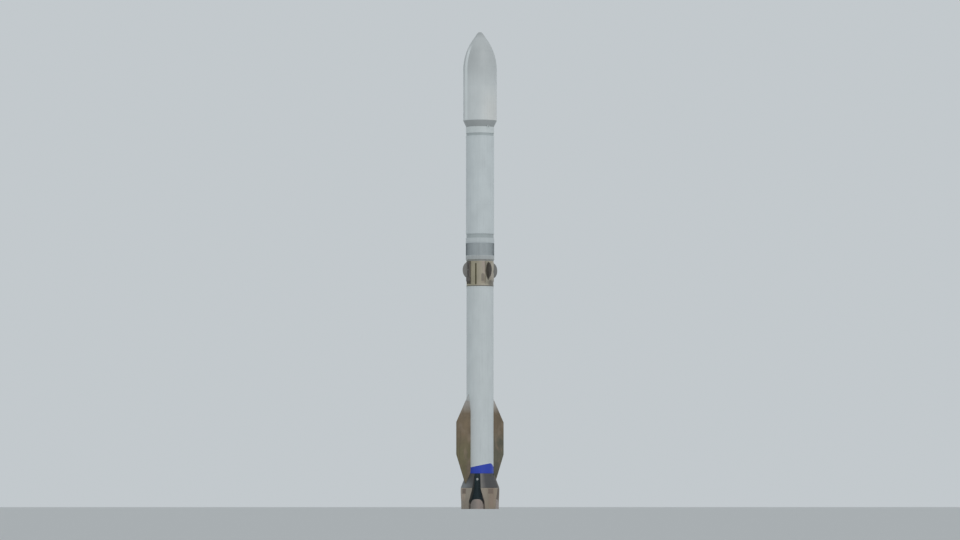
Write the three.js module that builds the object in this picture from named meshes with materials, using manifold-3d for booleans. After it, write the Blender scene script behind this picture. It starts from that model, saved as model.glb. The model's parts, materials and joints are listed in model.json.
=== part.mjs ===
// A two-stage heavy-lift space rocket, as a 1:10 scale model, standing on its hold-down faces.
// Millimetres, +Z up. The origin is on the rocket's axis, in the plane of the hold-down faces.
// The two strakes lie along X, and the four fins along X and Y.
import * as THREE from "three";
import { mergeVertices } from "three/addons/utils/BufferGeometryUtils.js";
import { ConvexGeometry } from "three/addons/geometries/ConvexGeometry.js";
import Module from "manifold-3d";

const wasm = await Module();
wasm.setup();

// Sizes below that end in "* M" are metres of the full-size rocket
const M = 100; // mm of model for one metre of the full-size rocket, which is 1:10
const GAP = 0.3; // between pieces that touch on the real rocket
const ROUND = 48; // flat sides round a body
const SMALL_ROUND = 16; // flat sides round an engine, a port or a shaft
const PIN_ROUND = 12; // flat sides round a hinge pin or eye
const FACET = 9; // most degrees that one flat of a sector takes
const BOW = 1 / Math.cos(Math.PI / ROUND); // from a body's flats out to its corners
const QUARTERS = [0, 90, 180, 270]; // bearings of the leg fairings and fins, in degrees
const RECESSES = [45, 135, 225, 315]; // bearings between the leg fairings

// Radii of the bodies
const BOOSTER_R = 3.5 * M;
const UPPER_R = 3.636 * M;
const INTERSTAGE_R = 3.71 * M;
const FAIRING_R = 4.39 * M;
const PETAL_R = 5.05 * M;

// Heights where one body ends and the next begins, from the hold-down plane up
const Z = {
  thrust: 4.3 * M,
  panelLine: 5.48 * M,
  bandLow: 9.26 * M,
  bandHigh: 11.48 * M,
  moduleLow: 58.0 * M,
  moduleHigh: 65.0 * M,
  interstageTop: 69.6 * M,
  aftRingTop: 70.67 * M,
  aftGrooveTop: 71.7 * M,
  upperTankTop: 97.38 * M,
  forwardGrooveTop: 98.08 * M,
  payloadRingTop: 99.74 * M,
  boattailTop: 101.4 * M,
  shoulder: 114.65 * M,
};

// Lands: low rings that stand proud of a skin where its sections are bolted together
const LAND = 0.025 * M; // how far they stand proud
const bandLands = [{ low: 9.28 * M, high: 9.52 * M }];
const tankLands = [{ low: 57.52 * M, high: 57.92 * M }];
const moduleLands = [
  { low: 58.02 * M, high: 58.26 * M },
  { low: 64.62 * M, high: 64.94 * M },
];
const upperTankLands = [{ low: 71.8 * M, high: 72.1 * M }];

// Solids and booleans

// The closed solid of a three.js geometry, with its faces pointing out
function filled(geometry) {
  const bare = geometry.clone();
  bare.deleteAttribute("normal");
  bare.deleteAttribute("uv");
  const merged = mergeVertices(bare, 1e-4);
  const position = merged.attributes.position.array;
  const index = merged.index.array;
  const corners = [];
  let volume = 0;
  const [a, b, c] = [new THREE.Vector3(), new THREE.Vector3(), new THREE.Vector3()];
  for (let i = 0; i < index.length; i += 3) {
    const [p, q, r] = [index[i], index[i + 1], index[i + 2]];
    if (p === q || q === r || r === p) continue;
    corners.push(p, q, r);
    a.fromArray(position, 3 * p);
    b.fromArray(position, 3 * q);
    c.fromArray(position, 3 * r);
    volume += a.dot(b.cross(c));
  }
  if (volume < 0) corners.reverse();
  const mesh = new wasm.Mesh({
    numProp: 3,
    vertProperties: new Float32Array(position),
    triVerts: new Uint32Array(corners),
  });
  return new wasm.Manifold(mesh);
}

// The three.js geometry of a solid
function shown(solid) {
  const mesh = solid.getMesh();
  const geometry = new THREE.BufferGeometry();
  geometry.setAttribute("position", new THREE.BufferAttribute(mesh.vertProperties, 3));
  geometry.setIndex(new THREE.BufferAttribute(mesh.triVerts, 1));
  geometry.computeVertexNormals();
  return geometry;
}

// A profile of [radius, height] points turned about the Z axis. One that doesn't reach the axis
// at both ends is a ring, and closes on its first point.
function turned(profile, sides = ROUND) {
  const points = profile.map(([r, z]) => new THREE.Vector2(r, z));
  if (profile[0][0] > 0) points.push(points[0].clone());
  return filled(new THREE.LatheGeometry(points, sides).rotateX(Math.PI / 2));
}

function disc(radius, low, high, sides = ROUND) {
  return turned([[0, low], [radius, low], [radius, high], [0, high]], sides);
}

// [radius, height] points up the lands of a round side, set off by a clearance or not
function landPoints(radius, lands, clear = 0) {
  return lands.flatMap(({ low, high }) => [
    [radius + clear, low - clear],
    [radius + LAND + clear, low - clear],
    [radius + LAND + clear, high + clear],
    [radius + clear, high + clear],
  ]);
}

// A round body with its lands
function landed(radius, low, high, lands) {
  return turned([[0, low], [radius, low], ...landPoints(radius, lands), [radius, high], [0, high]]);
}

// A rod along X, round which a pin, bore or port is made
function rod(radius, from, to, y, z, sides = SMALL_ROUND) {
  const geometry = new THREE.CylinderGeometry(radius, radius, to - from, sides);
  return filled(geometry.rotateZ(Math.PI / 2).translate((from + to) / 2, y, z));
}

// A box from its lowest to its highest corner
function box(low, high) {
  const size = high.map((value, i) => value - low[i]);
  const middle = high.map((value, i) => (value + low[i]) / 2);
  return filled(new THREE.BoxGeometry(...size).translate(...middle));
}

// An outline in the plane of X and Z, made into a plate from y = -half to y = half. The bevel
// rounds its edges inside that thickness and outside the outline.
function plateAcrossY(shape, half, bevel = 0) {
  const geometry = new THREE.ExtrudeGeometry(shape, {
    depth: 2 * (half - bevel),
    curveSegments: 8,
    bevelEnabled: bevel > 0,
    bevelThickness: bevel,
    bevelSize: bevel,
    bevelSegments: 1,
  });
  return filled(geometry.translate(0, 0, bevel - half).rotateX(Math.PI / 2));
}

function outline(points) {
  return new THREE.Shape(points.map(([x, z]) => new THREE.Vector2(x, z)));
}

// An outline that faces out along X, as a plate from one distance to another
function plateAcrossX(shape, from, to, bevel = 0) {
  const plate = plateAcrossY(shape, (to - from) / 2, bevel);
  return plate.translate([0, -(from + to) / 2, 0]).rotate([0, 0, 90]);
}

// A value of one column of a table at a height between its rows
function columnAt(rows, column, z) {
  const above = rows.findIndex((row) => row.z >= z);
  const [low, high] = [rows[Math.max(above - 1, 0)], rows[Math.max(above, 1)]];
  return low[column] + ((high[column] - low[column]) * (z - low.z)) / (high.z - low.z);
}

// A solid between two bearings and two radii, straight from each level to the next
function sectorLoft(levels) {
  const steps = Math.ceil(Math.max(...levels.map(({ from, to }) => to - from)) / FACET);
  const at = (r, degrees, z) => {
    const angle = THREE.MathUtils.degToRad(degrees);
    return [r * Math.cos(angle), r * Math.sin(angle), z];
  };
  const position = [];
  for (const { z, inner, outer, from, to } of levels) {
    const bearings = Array.from({ length: steps + 1 }, (_, i) => from + ((to - from) * i) / steps);
    bearings.forEach((degrees) => position.push(...at(outer, degrees, z)));
    bearings.reverse().forEach((degrees) => position.push(...at(inner, degrees, z)));
  }
  const loop = 2 * (steps + 1);
  const index = [];
  const quad = (a, b, c, d) => index.push(a, b, c, a, c, d);
  for (let level = 0; level < levels.length - 1; level++) {
    const [low, high] = [level * loop, (level + 1) * loop];
    for (let i = 0; i < loop; i++) {
      const next = (i + 1) % loop;
      quad(low + i, low + next, high + next, high + i);
    }
  }
  const top = (levels.length - 1) * loop;
  for (let i = 0; i < steps; i++) {
    const facing = loop - 1 - i;
    quad(facing, facing - 1, i + 1, i);
    quad(top + i, top + i + 1, top + facing - 1, top + facing);
  }
  const geometry = new THREE.BufferGeometry();
  geometry.setAttribute("position", new THREE.Float32BufferAttribute(position, 3));
  geometry.setIndex(index);
  return filled(geometry);
}

// A curved plate on a round side: how far it is sunk in it and stands proud of it
function sectorBlock(radius, sunk, proud, { from, to, low, high }) {
  return sectorLoft([low, high].map((z) => ({ z, inner: radius - sunk, outer: radius + proud, from, to })));
}

const bearing = (solid, degrees) => solid.rotate([0, 0, degrees]);

// [radius, height] points along an arc, both ends included
function arc(cx, cz, radius, fromDegrees, toDegrees, steps) {
  return Array.from({ length: steps + 1 }, (_, i) => {
    const angle = THREE.MathUtils.degToRad(fromDegrees + ((toDegrees - fromDegrees) * i) / steps);
    return [cx + radius * Math.cos(angle), cz + radius * Math.sin(angle)];
  });
}

// The same up to the axis, where the last point's radius is exactly zero
function dome(cx, cz, radius, fromDegrees, steps) {
  const points = arc(cx, cz, radius, fromDegrees, 90, steps);
  points.at(-1)[0] = 0;
  return points;
}

// Finishes
const finish = (color, roughness, metalness = 0) => ({ color, roughness, metalness });
const WHITE = finish(0xe6eaeb, 0.5);
const FAIRING_WHITE = finish(0xe6e7e4, 0.45);
const GROOVE_GREY = finish(0x5b666a, 0.6);
const INTERSTAGE_GREY = finish(0xa9b1b2, 0.5);
const BRONZE = finish(0x9d9176, 0.4, 0.5);
const FIN_BROWN = finish(0x4b4640, 0.55, 0.3);
const STRAKE_BROWN = finish(0x6f5f4d, 0.6);
const BLUE = finish(0x2b41a8, 0.45);
const AFT_BROWN = finish(0x55524e, 0.6);
const AFT_TAN = finish(0x8c7a66, 0.55);
const RECESS_DARK = finish(0x2f3533, 0.7);
const SHIELD_GREY = finish(0x77787a, 0.8);
const ENGINE_METAL = finish(0x8d8780, 0.35, 0.9);

const group = new THREE.Group();

function add(name, solid, material) {
  const mesh = new THREE.Mesh(shown(solid), new THREE.MeshStandardMaterial(material));
  mesh.name = name;
  group.add(mesh);
}

// Aft skirt: a cup that opens downwards over the engines and widens to its mouth. Its solid top
// is the thrust plate. A round port stands on it between each two leg fairings.
const SKIRT_WALL = 0.09 * M;
const SKIRT_LOW = 0.12 * M;
const MOUTH_R = 4.22 * M;
const KNEE = { r: 3.72 * M, z: 2.6 * M };
const BAY_TOP_R = 3.52 * M;
const PORT = { r: 0.3 * M, z: 7.75 * M, stands: 0.06 * M, root: 3.3 * M };
const skirtLevels = [
  { r: MOUTH_R, z: SKIRT_LOW },
  { r: KNEE.r, z: KNEE.z },
  { r: 3.62 * M, z: Z.panelLine },
  { r: BOOSTER_R, z: Z.bandLow - GAP },
];
const skirtSide = skirtLevels.map(({ r, z }) => [r, z]);
const skirtOutside = turned([
  [0, -M],
  [MOUTH_R + GAP, -M],
  ...skirtSide.map(([r, z]) => [r + GAP, z]),
  [BOOSTER_R + GAP, Z.bandHigh],
  [0, Z.bandHigh],
]);

// Ribs and hoops stiffen the skirt where it shows, in the recesses
const RIB = { stands: 0.06 * M, half: 0.025 * M, sunk: 0.04 * M };
const ribOffsets = [-7, 7];
const HOOP = { stands: 0.04 * M, half: 0.05 * M, halfAngle: 10.5 };
const hoopHeights = [3.6 * M, Z.panelLine, 6.4 * M, 8.6 * M];

function skirtRib() {
  const side = skirtLevels.slice(1);
  const front = side.map(({ r, z }) => [r + RIB.stands, z]);
  const back = side.map(({ r, z }) => [r - RIB.sunk, z]).reverse();
  return plateAcrossY(outline([...front, ...back]), RIB.half);
}

function skirtHoop(z) {
  const r = columnAt(skirtLevels, "r", z);
  return sectorBlock(r, HOOP.stands, HOOP.stands, {
    from: -HOOP.halfAngle,
    to: HOOP.halfAngle,
    low: z - HOOP.half,
    high: z + HOOP.half,
  });
}

function aftSkirt() {
  const cup = turned([
    [0, Z.bandLow - GAP],
    [0, Z.thrust],
    [BAY_TOP_R, Z.thrust],
    [KNEE.r - SKIRT_WALL, KNEE.z],
    [MOUTH_R - SKIRT_WALL, SKIRT_LOW],
    ...skirtSide,
    [0, Z.bandLow - GAP],
  ]);
  const port = rod(PORT.r, PORT.root, BOOSTER_R + PORT.stands, 0, PORT.z);
  const rib = skirtRib();
  const details = [
    port,
    ...ribOffsets.map((offset) => bearing(rib, offset)),
    ...hoopHeights.map(skirtHoop),
  ];
  return RECESSES.reduce(
    (skirt, degrees) => details.reduce((done, detail) => done.add(bearing(detail, degrees)), skirt),
    cup,
  );
}

add("aft_skirt", aftSkirt(), RECESS_DARK);

// Leg fairings: four petals round the skirt, each in a tan lower and a brown upper panel. Between
// levels the panel is straight. It narrows downwards, so the recess between two petals widens.
const PETAL_CORE_R = 3.3 * M;
const petalLevels = [
  { z: 0, r: PETAL_R, halfAngle: 19.5 },
  { z: 2.0 * M, r: PETAL_R, halfAngle: 20.5 },
  { z: 4.8 * M, r: PETAL_R, halfAngle: 30.5 },
  { z: Z.panelLine, r: PETAL_R, halfAngle: 31.8 },
  { z: Z.bandLow, r: 3.58 * M, halfAngle: 33 },
];

// Sunk panels, whose sides are shares of the petal's half angle
const PANEL_DEPTH = 0.025 * M;
const lowerPanels = [
  { from: -0.89, to: -0.39, low: 0.5 * M, high: 2.73 * M },
  { from: 0.39, to: 0.89, low: 0.5 * M, high: 2.73 * M },
  { from: -0.89, to: -0.39, low: 3.0 * M, high: 4.97 * M },
  { from: 0.39, to: 0.89, low: 3.0 * M, high: 4.97 * M },
  { from: -0.33, to: 0.33, low: 3.23 * M, high: 3.97 * M },
];
const upperPanels = [
  { from: -0.89, to: -0.06, low: 5.75 * M, high: 7.25 * M },
  { from: 0.06, to: 0.89, low: 5.75 * M, high: 7.25 * M },
  { from: -0.89, to: -0.06, low: 7.5 * M, high: 8.75 * M },
  { from: 0.06, to: 0.89, low: 7.5 * M, high: 8.75 * M },
];

// Hatches stand a little proud of a lower panel: one over the leg's hinge, one over its foot
const HATCH_STANDS = 0.016 * M;
const legHatches = [
  { from: -9, to: 9, low: 4.25 * M, high: 5.28 * M },
  { from: -6.5, to: 6.5, low: 0.85 * M, high: 2.9 * M },
];

function panelCut({ from, to, low, high }) {
  const levels = [low, high].map((z) => {
    const r = columnAt(petalLevels, "r", z);
    const halfAngle = columnAt(petalLevels, "halfAngle", z);
    return { z, inner: r - PANEL_DEPTH, outer: r + M, from: from * halfAngle, to: to * halfAngle };
  });
  return sectorLoft(levels);
}

const petalSectors = petalLevels.map(({ z, r, halfAngle }) => (
  { z, inner: PETAL_CORE_R, outer: r, from: -halfAngle, to: halfAngle }
));
const petal = sectorLoft(petalSectors).subtract(skirtOutside);
const belowLine = box([0, -PETAL_R, -M], [PETAL_R + M, PETAL_R, Z.panelLine - GAP / 2]);
const aboveLine = box([0, -PETAL_R, Z.panelLine + GAP / 2], [PETAL_R + M, PETAL_R, Z.bandLow - GAP]);
const paneled = (solid, panels) => panels.reduce((left, panel) => left.subtract(panelCut(panel)), solid);
const petalLower = legHatches.reduce(
  (done, hatch) => done.add(sectorBlock(PETAL_R, PANEL_DEPTH, HATCH_STANDS, hatch)),
  paneled(petal.intersect(belowLine), lowerPanels),
);
const petalUpper = paneled(petal.intersect(aboveLine), upperPanels);
QUARTERS.forEach((degrees, i) => {
  add(`leg_fairing_lower_${i + 1}`, bearing(petalLower, degrees), AFT_TAN);
  add(`leg_fairing_upper_${i + 1}`, bearing(petalUpper, degrees), AFT_BROWN);
});

// Arch shrouds: a broad arch at the foot of each recess, over the mouth of one engine. With a power
// above two, its head is squarer than half an ellipse.
const ARCH = { half: 1.68 * M, high: 2.55 * M, from: 3.4 * M, to: 4.62 * M, bevel: 0.3 * M };
const ARCH_HEAD = { power: 3, steps: 14 };

function archShroud() {
  const half = ARCH.half - ARCH.bevel;
  const high = ARCH.high - ARCH.bevel;
  const squarer = (value) => Math.sign(value) * Math.abs(value) ** (2 / ARCH_HEAD.power);
  const head = Array.from({ length: ARCH_HEAD.steps + 1 }, (_, i) => {
    const angle = (i * Math.PI) / ARCH_HEAD.steps;
    return [half * squarer(Math.cos(angle)), high * squarer(Math.sin(angle))];
  });
  const shape = outline([[-half, -M], [half, -M], ...head]);
  const slab = plateAcrossX(shape, ARCH.from, ARCH.to, ARCH.bevel);
  const aboveMouth = box([0, -PETAL_R, 0], [PETAL_R, PETAL_R, Z.panelLine]);
  return slab.intersect(aboveMouth).subtract(skirtOutside);
}

const arch = archShroud();
RECESSES.forEach((degrees, i) => add(`arch_shroud_${i + 1}`, bearing(arch, degrees), AFT_TAN));

// Engines: one in the middle and eight in a ring, each hung from the thrust plate by its gimbal
// ball. A bell is hollow from its mouth to its throat, and the block above it is the powerhead.
const ENGINE_RING_R = 2.78 * M;
const GIMBAL_Z = Z.thrust - 0.15 * M;
const BALL = { r: 0.15 * M - GAP, fromDegrees: -42, steps: 3 };
const RING_ENGINES = 8;
const BELL = { mouthR: 0.9 * M, mouthZ: 0.25 * M, throatR: 0.16 * M, throatZ: 2.35 * M, wall: 0.045 * M };
const SWELL = 0.65; // exponent of the bell's curve: below one, it flares most near the throat
// Below, shares of the way from the throat down to the mouth
const BELL_HOOP = { stands: 0.018 * M, half: 0.015 };
const bellInside = [0, 0.2, 0.5, 1];
const bellOutside = [1, 0.45, 0.2, 0];
const bellHoops = [0.86, 0.68];
const POWERHEAD = { r: 0.6 * M, low: 2.62 * M, high: 3.75 * M, neckR: 0.11 * M };

// A point of the bell's outside, at a share of the way from the throat down to the mouth
function bellPoint(share, stands = 0) {
  const r = BELL.throatR + (BELL.mouthR - BELL.throatR) * share ** SWELL;
  return [r + stands, BELL.throatZ - (BELL.throatZ - BELL.mouthZ) * share];
}

function engine() {
  const inside = bellInside.map((share) => bellPoint(share, -BELL.wall));
  const hoops = bellHoops.flatMap((share) => [
    bellPoint(share - BELL_HOOP.half),
    bellPoint(share, BELL_HOOP.stands),
    bellPoint(share + BELL_HOOP.half),
  ]);
  const bell = [...bellOutside.map((share) => bellPoint(share)), ...hoops].sort((a, b) => a[1] - b[1]);
  return turned([
    [0, BELL.throatZ],
    ...inside,
    ...bell,
    [POWERHEAD.r, POWERHEAD.low],
    [POWERHEAD.r, POWERHEAD.high],
    [POWERHEAD.neckR, POWERHEAD.high],
    ...dome(0, GIMBAL_Z, BALL.r, BALL.fromDegrees, BALL.steps),
  ], SMALL_ROUND);
}

const engineSolid = engine();
const engineCentres = [[0, 0]];
for (let i = 0; i < RING_ENGINES; i++) {
  const angle = (i * 2 * Math.PI) / RING_ENGINES;
  engineCentres.push([ENGINE_RING_R * Math.cos(angle), ENGINE_RING_R * Math.sin(angle)]);
}
engineCentres.forEach(([x, y], i) => {
  add(`engine_${i + 1}`, engineSolid.translate([x, y, 0]), ENGINE_METAL);
});

// Heat shield: the plate that closes the bay round the bells, with room for each to swing
const SHIELD = { low: 1.5 * M, high: 1.58 * M, holeR: 0.885 * M };
const bayWiden = (MOUTH_R - KNEE.r) / (KNEE.z - SKIRT_LOW);
const shieldR = KNEE.r - SKIRT_WALL + bayWiden * (KNEE.z - SHIELD.high) - GAP;

function heatShield() {
  const hole = disc(SHIELD.holeR, SHIELD.low - M, SHIELD.high + M, SMALL_ROUND);
  const plate = disc(shieldR, SHIELD.low, SHIELD.high);
  return engineCentres.reduce((left, [x, y]) => left.subtract(hole.translate([x, y, 0])), plate);
}

add("heat_shield", heatShield(), SHIELD_GREY);

// First stage
add("blue_band", landed(BOOSTER_R, Z.bandLow, Z.bandHigh - GAP, bandLands), BLUE);
add("booster_tank", landed(BOOSTER_R, Z.bandHigh, Z.moduleLow - GAP, tankLands), WHITE);

// Forward module: curved plates with a strip over each joint, a slim pipe and a round-topped hatch
const STRIP = { stands: 0.018 * M, half: 0.07 * M, low: 58.35 * M, high: 64.55 * M, first: 22.5, count: 8 };
const PIPE = { r: 0.09 * M, at: 3.56 * M, low: 58.7 * M, high: 63.9 * M, bearing: 218 };
const MODULE_HATCH = { half: 0.36 * M, low: 59.4 * M, side: 1.6 * M, face: 3.53 * M, bearing: 248 };
const SUNK = 0.1 * M; // how far what is fixed to a body reaches into it

function moduleHatch() {
  const shape = new THREE.Shape();
  shape.moveTo(-MODULE_HATCH.half, MODULE_HATCH.low);
  shape.lineTo(MODULE_HATCH.half, MODULE_HATCH.low);
  shape.absarc(0, MODULE_HATCH.low + MODULE_HATCH.side, MODULE_HATCH.half, 0, Math.PI);
  return plateAcrossX(shape, BOOSTER_R - SUNK, MODULE_HATCH.face);
}

function forwardModule() {
  const strip = box(
    [BOOSTER_R - SUNK, -STRIP.half, STRIP.low],
    [BOOSTER_R + STRIP.stands, STRIP.half, STRIP.high],
  );
  const pipe = disc(PIPE.r, PIPE.low, PIPE.high, PIN_ROUND).translate([PIPE.at, 0, 0]);
  const strips = Array.from({ length: STRIP.count }, (_, i) => (
    bearing(strip, STRIP.first + (360 * i) / STRIP.count)
  ));
  return [...strips, bearing(pipe, PIPE.bearing), bearing(moduleHatch(), MODULE_HATCH.bearing)].reduce(
    (module, detail) => module.add(detail),
    landed(BOOSTER_R, Z.moduleLow, Z.moduleHigh - GAP, moduleLands),
  );
}

add("forward_module", forwardModule(), BRONZE);

// Everything that sits against the first stage is cut to its outside
const stageOutside = turned([
  [0, 0],
  [PETAL_R * BOW + GAP, 0],
  [PETAL_R * BOW + GAP, Z.panelLine],
  [petalLevels.at(-1).r * BOW + GAP, Z.bandLow],
  [BOOSTER_R + GAP, Z.bandLow],
  ...landPoints(BOOSTER_R, [...bandLands, ...tankLands, ...moduleLands], GAP),
  [BOOSTER_R + GAP, Z.moduleHigh],
  [0, Z.moduleHigh],
]);

// Strakes: a wedge on each side, thick at its root and thin at its outer edge, which slopes in at
// both ends and runs down onto the leg fairing
const strakePoints = [
  { r: 3.4 * M, z: 30.2 * M, half: 0.12 * M },
  { r: 3.4 * M, z: 25.5 * M, half: 0.74 * M },
  { r: 7.4 * M, z: 22.6 * M, half: 0.08 * M },
  { r: 7.4 * M, z: 14.2 * M, half: 0.08 * M },
  { r: 4.55 * M, z: 6.4 * M, half: 0.12 * M },
  { r: 3.4 * M, z: 6.4 * M, half: 0.4 * M },
  { r: 3.4 * M, z: 10.0 * M, half: 0.74 * M },
];

function strake() {
  const corners = strakePoints.flatMap(({ r, z, half }) => [
    new THREE.Vector3(r, -half, z),
    new THREE.Vector3(r, half, z),
  ]);
  return filled(new ConvexGeometry(corners)).subtract(stageOutside);
}

const strakeSolid = strake();
add("strake_1", strakeSolid, STRAKE_BROWN);
add("strake_2", bearing(strakeSolid, 180), STRAKE_BROWN);

// Raceways: covered cable runs up the side that faces away, clear of strakes and fins. The cover is
// laid in lengths, with a clamp over each joint.
const RACEWAY = { half: 0.22 * M, stands: 0.17 * M, root: 3.3 * M, bearing: 56, length: 5.8 * M };
const CLAMP = { half: 0.28 * M, stands: 0.2 * M, halfLength: 0.09 * M };

function raceway(bodyR, low, high, bodyOutside) {
  const cover = box(
    [RACEWAY.root, -RACEWAY.half, low],
    [bodyR + RACEWAY.stands, RACEWAY.half, high],
  );
  const lengths = Math.round((high - low) / RACEWAY.length);
  const first = low + CLAMP.halfLength;
  const last = high - CLAMP.halfLength;
  const clamps = Array.from({ length: lengths + 1 }, (_, i) => {
    const z = first + ((last - first) * i) / lengths;
    return box(
      [RACEWAY.root, -CLAMP.half, z - CLAMP.halfLength],
      [bodyR + CLAMP.stands, CLAMP.half, z + CLAMP.halfLength],
    );
  });
  const whole = clamps.reduce((done, clamp) => done.add(clamp), cover);
  return bearing(whole, RACEWAY.bearing).subtract(bodyOutside);
}

add("booster_raceway", raceway(BOOSTER_R, 12.2 * M, 64.6 * M, stageOutside), WHITE);

// Fin housings: a box for the actuator of each forward fin, with a bore for its shaft
const FIN = {
  z: 62.25 * M,
  root: 3.935 * M,
  tip: 5.44 * M,
  halfChord: 2.0 * M,
  half: 0.13 * M,
  rimHalf: 0.025 * M,
  shaftR: 0.2 * M,
  boreR: 0.208 * M,
  boreEnd: 3.62 * M,
};
const FIN_SWELL = 0.7; // exponent of the paddle's thickness: below one, it stays thick towards the rim
const finShares = [0, 0.6, 1]; // of the way from the root out to the rim
const FIN_STEPS = 10; // along the paddle's chord
const ROOT_CAP = { deep: 0.1 * M, half: 0.155 * M, halfLength: 1.2 * M };
const HOUSING = {
  half: 0.75 * M,
  face: 3.88 * M,
  root: 3.4 * M,
  low: 58.6 * M,
  high: 64.6 * M,
  slope: 0.9 * M,
};
const COVER = { edge: 0.08 * M, deep: 0.02 * M }; // the sunk face of a housing, and the frame round it

function finHousing() {
  const shape = outline([
    [HOUSING.root, HOUSING.low],
    [BOOSTER_R, HOUSING.low],
    [HOUSING.face, HOUSING.low + HOUSING.slope],
    [HOUSING.face, HOUSING.high - HOUSING.slope / 3],
    [BOOSTER_R, HOUSING.high],
    [HOUSING.root, HOUSING.high],
  ]);
  const bore = rod(FIN.boreR, FIN.boreEnd, HOUSING.face + M, 0, FIN.z);
  const sunkFace = box(
    [HOUSING.face - COVER.deep, COVER.edge - HOUSING.half, HOUSING.low + HOUSING.slope + COVER.edge],
    [HOUSING.face + M, HOUSING.half - COVER.edge, HOUSING.high - HOUSING.slope / 3 - COVER.edge],
  );
  return plateAcrossY(shape, HOUSING.half).subtract(stageOutside).subtract(bore).subtract(sunkFace);
}

// A paddle with a half-oval outline, thickest in the middle of its root and thin at its rim
function fin() {
  const points = finShares.flatMap((out) => Array.from({ length: FIN_STEPS + 1 }, (_, i) => {
    const angle = Math.PI * (i / FIN_STEPS - 0.5);
    const across = Math.max(Math.cos(angle), 0);
    const x = FIN.root + (FIN.tip - FIN.root) * out * across;
    const swell = ((1 - out ** 2) * across) ** FIN_SWELL;
    const half = FIN.rimHalf + (FIN.half - FIN.rimHalf) * swell;
    const z = FIN.z + FIN.halfChord * Math.sin(angle);
    return [new THREE.Vector3(x, -half, z), new THREE.Vector3(x, half, z)];
  })).flat();
  const cap = box(
    [FIN.root, -ROOT_CAP.half, FIN.z - ROOT_CAP.halfLength],
    [FIN.root + ROOT_CAP.deep, ROOT_CAP.half, FIN.z + ROOT_CAP.halfLength],
  );
  const shaft = rod(FIN.shaftR, FIN.boreEnd + GAP, FIN.root + ROOT_CAP.deep / 2, 0, FIN.z);
  return filled(new ConvexGeometry(points)).add(cap).add(shaft);
}

const housingSolid = finHousing();
const finSolid = fin();
QUARTERS.forEach((degrees, i) => {
  add(`fin_housing_${i + 1}`, bearing(housingSolid, degrees), FIN_BROWN);
  add(`fin_${i + 1}`, bearing(finSolid, degrees), FIN_BROWN);
});

// Interstage: a tube round the upper stage's engines, which are one block hung from the stage. It
// stands on the forward module by a foot that turns inwards, with a band round it. Stringers
// stiffen the tube from the band up to a land at its top.
const INTERSTAGE_SKIN_R = INTERSTAGE_R - 0.03 * M;
const INTERSTAGE_WALL = 0.12 * M;
const FOOT = { r: 3.2 * M, high: 0.15 * M, bandHigh: 66.0 * M };
const STRINGER = { count: 24, half: 0.035 * M, low: 66.12 * M, high: 69.25 * M };
const TOP_LAND = { stands: 0.02 * M, low: 69.23 * M, high: 69.47 * M };
const UPPER_ENGINES = { r: 2.2 * M, low: 66.2 * M };

function interstage() {
  const insideR = INTERSTAGE_SKIN_R - INTERSTAGE_WALL;
  const tube = turned([
    [FOOT.r, Z.moduleHigh],
    [INTERSTAGE_R, Z.moduleHigh],
    [INTERSTAGE_R, FOOT.bandHigh],
    [INTERSTAGE_SKIN_R, FOOT.bandHigh],
    [INTERSTAGE_SKIN_R, TOP_LAND.low],
    [INTERSTAGE_SKIN_R + TOP_LAND.stands, TOP_LAND.low],
    [INTERSTAGE_SKIN_R + TOP_LAND.stands, TOP_LAND.high],
    [INTERSTAGE_SKIN_R, TOP_LAND.high],
    [INTERSTAGE_SKIN_R, Z.interstageTop - GAP],
    [insideR, Z.interstageTop - GAP],
    [insideR, Z.moduleHigh + FOOT.high],
    [FOOT.r, Z.moduleHigh + FOOT.high],
  ]);
  const stringer = box(
    [INTERSTAGE_SKIN_R - INTERSTAGE_WALL / 2, -STRINGER.half, STRINGER.low],
    [INTERSTAGE_SKIN_R + LAND, STRINGER.half, STRINGER.high],
  );
  return Array.from({ length: STRINGER.count }, (_, i) => (360 * i) / STRINGER.count).reduce(
    (done, degrees) => done.add(bearing(stringer, degrees)),
    tube,
  );
}

add("interstage", interstage(), INTERSTAGE_GREY);
add("upper_engine_block", disc(UPPER_ENGINES.r, UPPER_ENGINES.low, Z.interstageTop - GAP), ENGINE_METAL);

// Second stage, between a recessed groove at each end
const AFT_GROOVE_R = 3.54 * M;
const FORWARD_GROOVE_R = 3.56 * M;
add("upper_aft_ring", disc(INTERSTAGE_R, Z.interstageTop, Z.aftRingTop - GAP), WHITE);
add("upper_aft_groove", disc(AFT_GROOVE_R, Z.aftRingTop, Z.aftGrooveTop - GAP), GROOVE_GREY);
add("upper_tank", landed(UPPER_R, Z.aftGrooveTop, Z.upperTankTop - GAP, upperTankLands), WHITE);
const upperOutside = disc(UPPER_R + GAP, Z.aftGrooveTop, Z.upperTankTop);
add("upper_raceway", raceway(UPPER_R, 72.4 * M, 96.8 * M, upperOutside), WHITE);
add("upper_forward_groove", disc(FORWARD_GROOVE_R, Z.upperTankTop, Z.forwardGrooveTop - GAP), GROOVE_GREY);

// Payload ring: it carries the payload adapter and, on ears at each side, the fairing's hinges
const RING_R = 3.68 * M;
const HINGE = {
  y: 3.8 * M,
  z: 99.85 * M,
  eyeR: 0.09 * M,
  pinR: 0.05 * M,
  boreR: 0.056 * M,
  lugHalf: 0.2 * M,
  earFrom: 0.21 * M,
  earTo: 0.36 * M,
  earLow: 99.0 * M,
};

// An outline across X with a round eye at the hinge, joined to the given points
function hingePlate(points, from, to) {
  const web = outline(points);
  const thickness = to - from;
  const plate = plateAcrossY(web, thickness / 2).translate([0, (from + to) / 2, 0]);
  const eye = rod(HINGE.eyeR, from, to, -HINGE.y, HINGE.z, PIN_ROUND);
  return bearing(plate, -90).add(eye);
}

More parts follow.
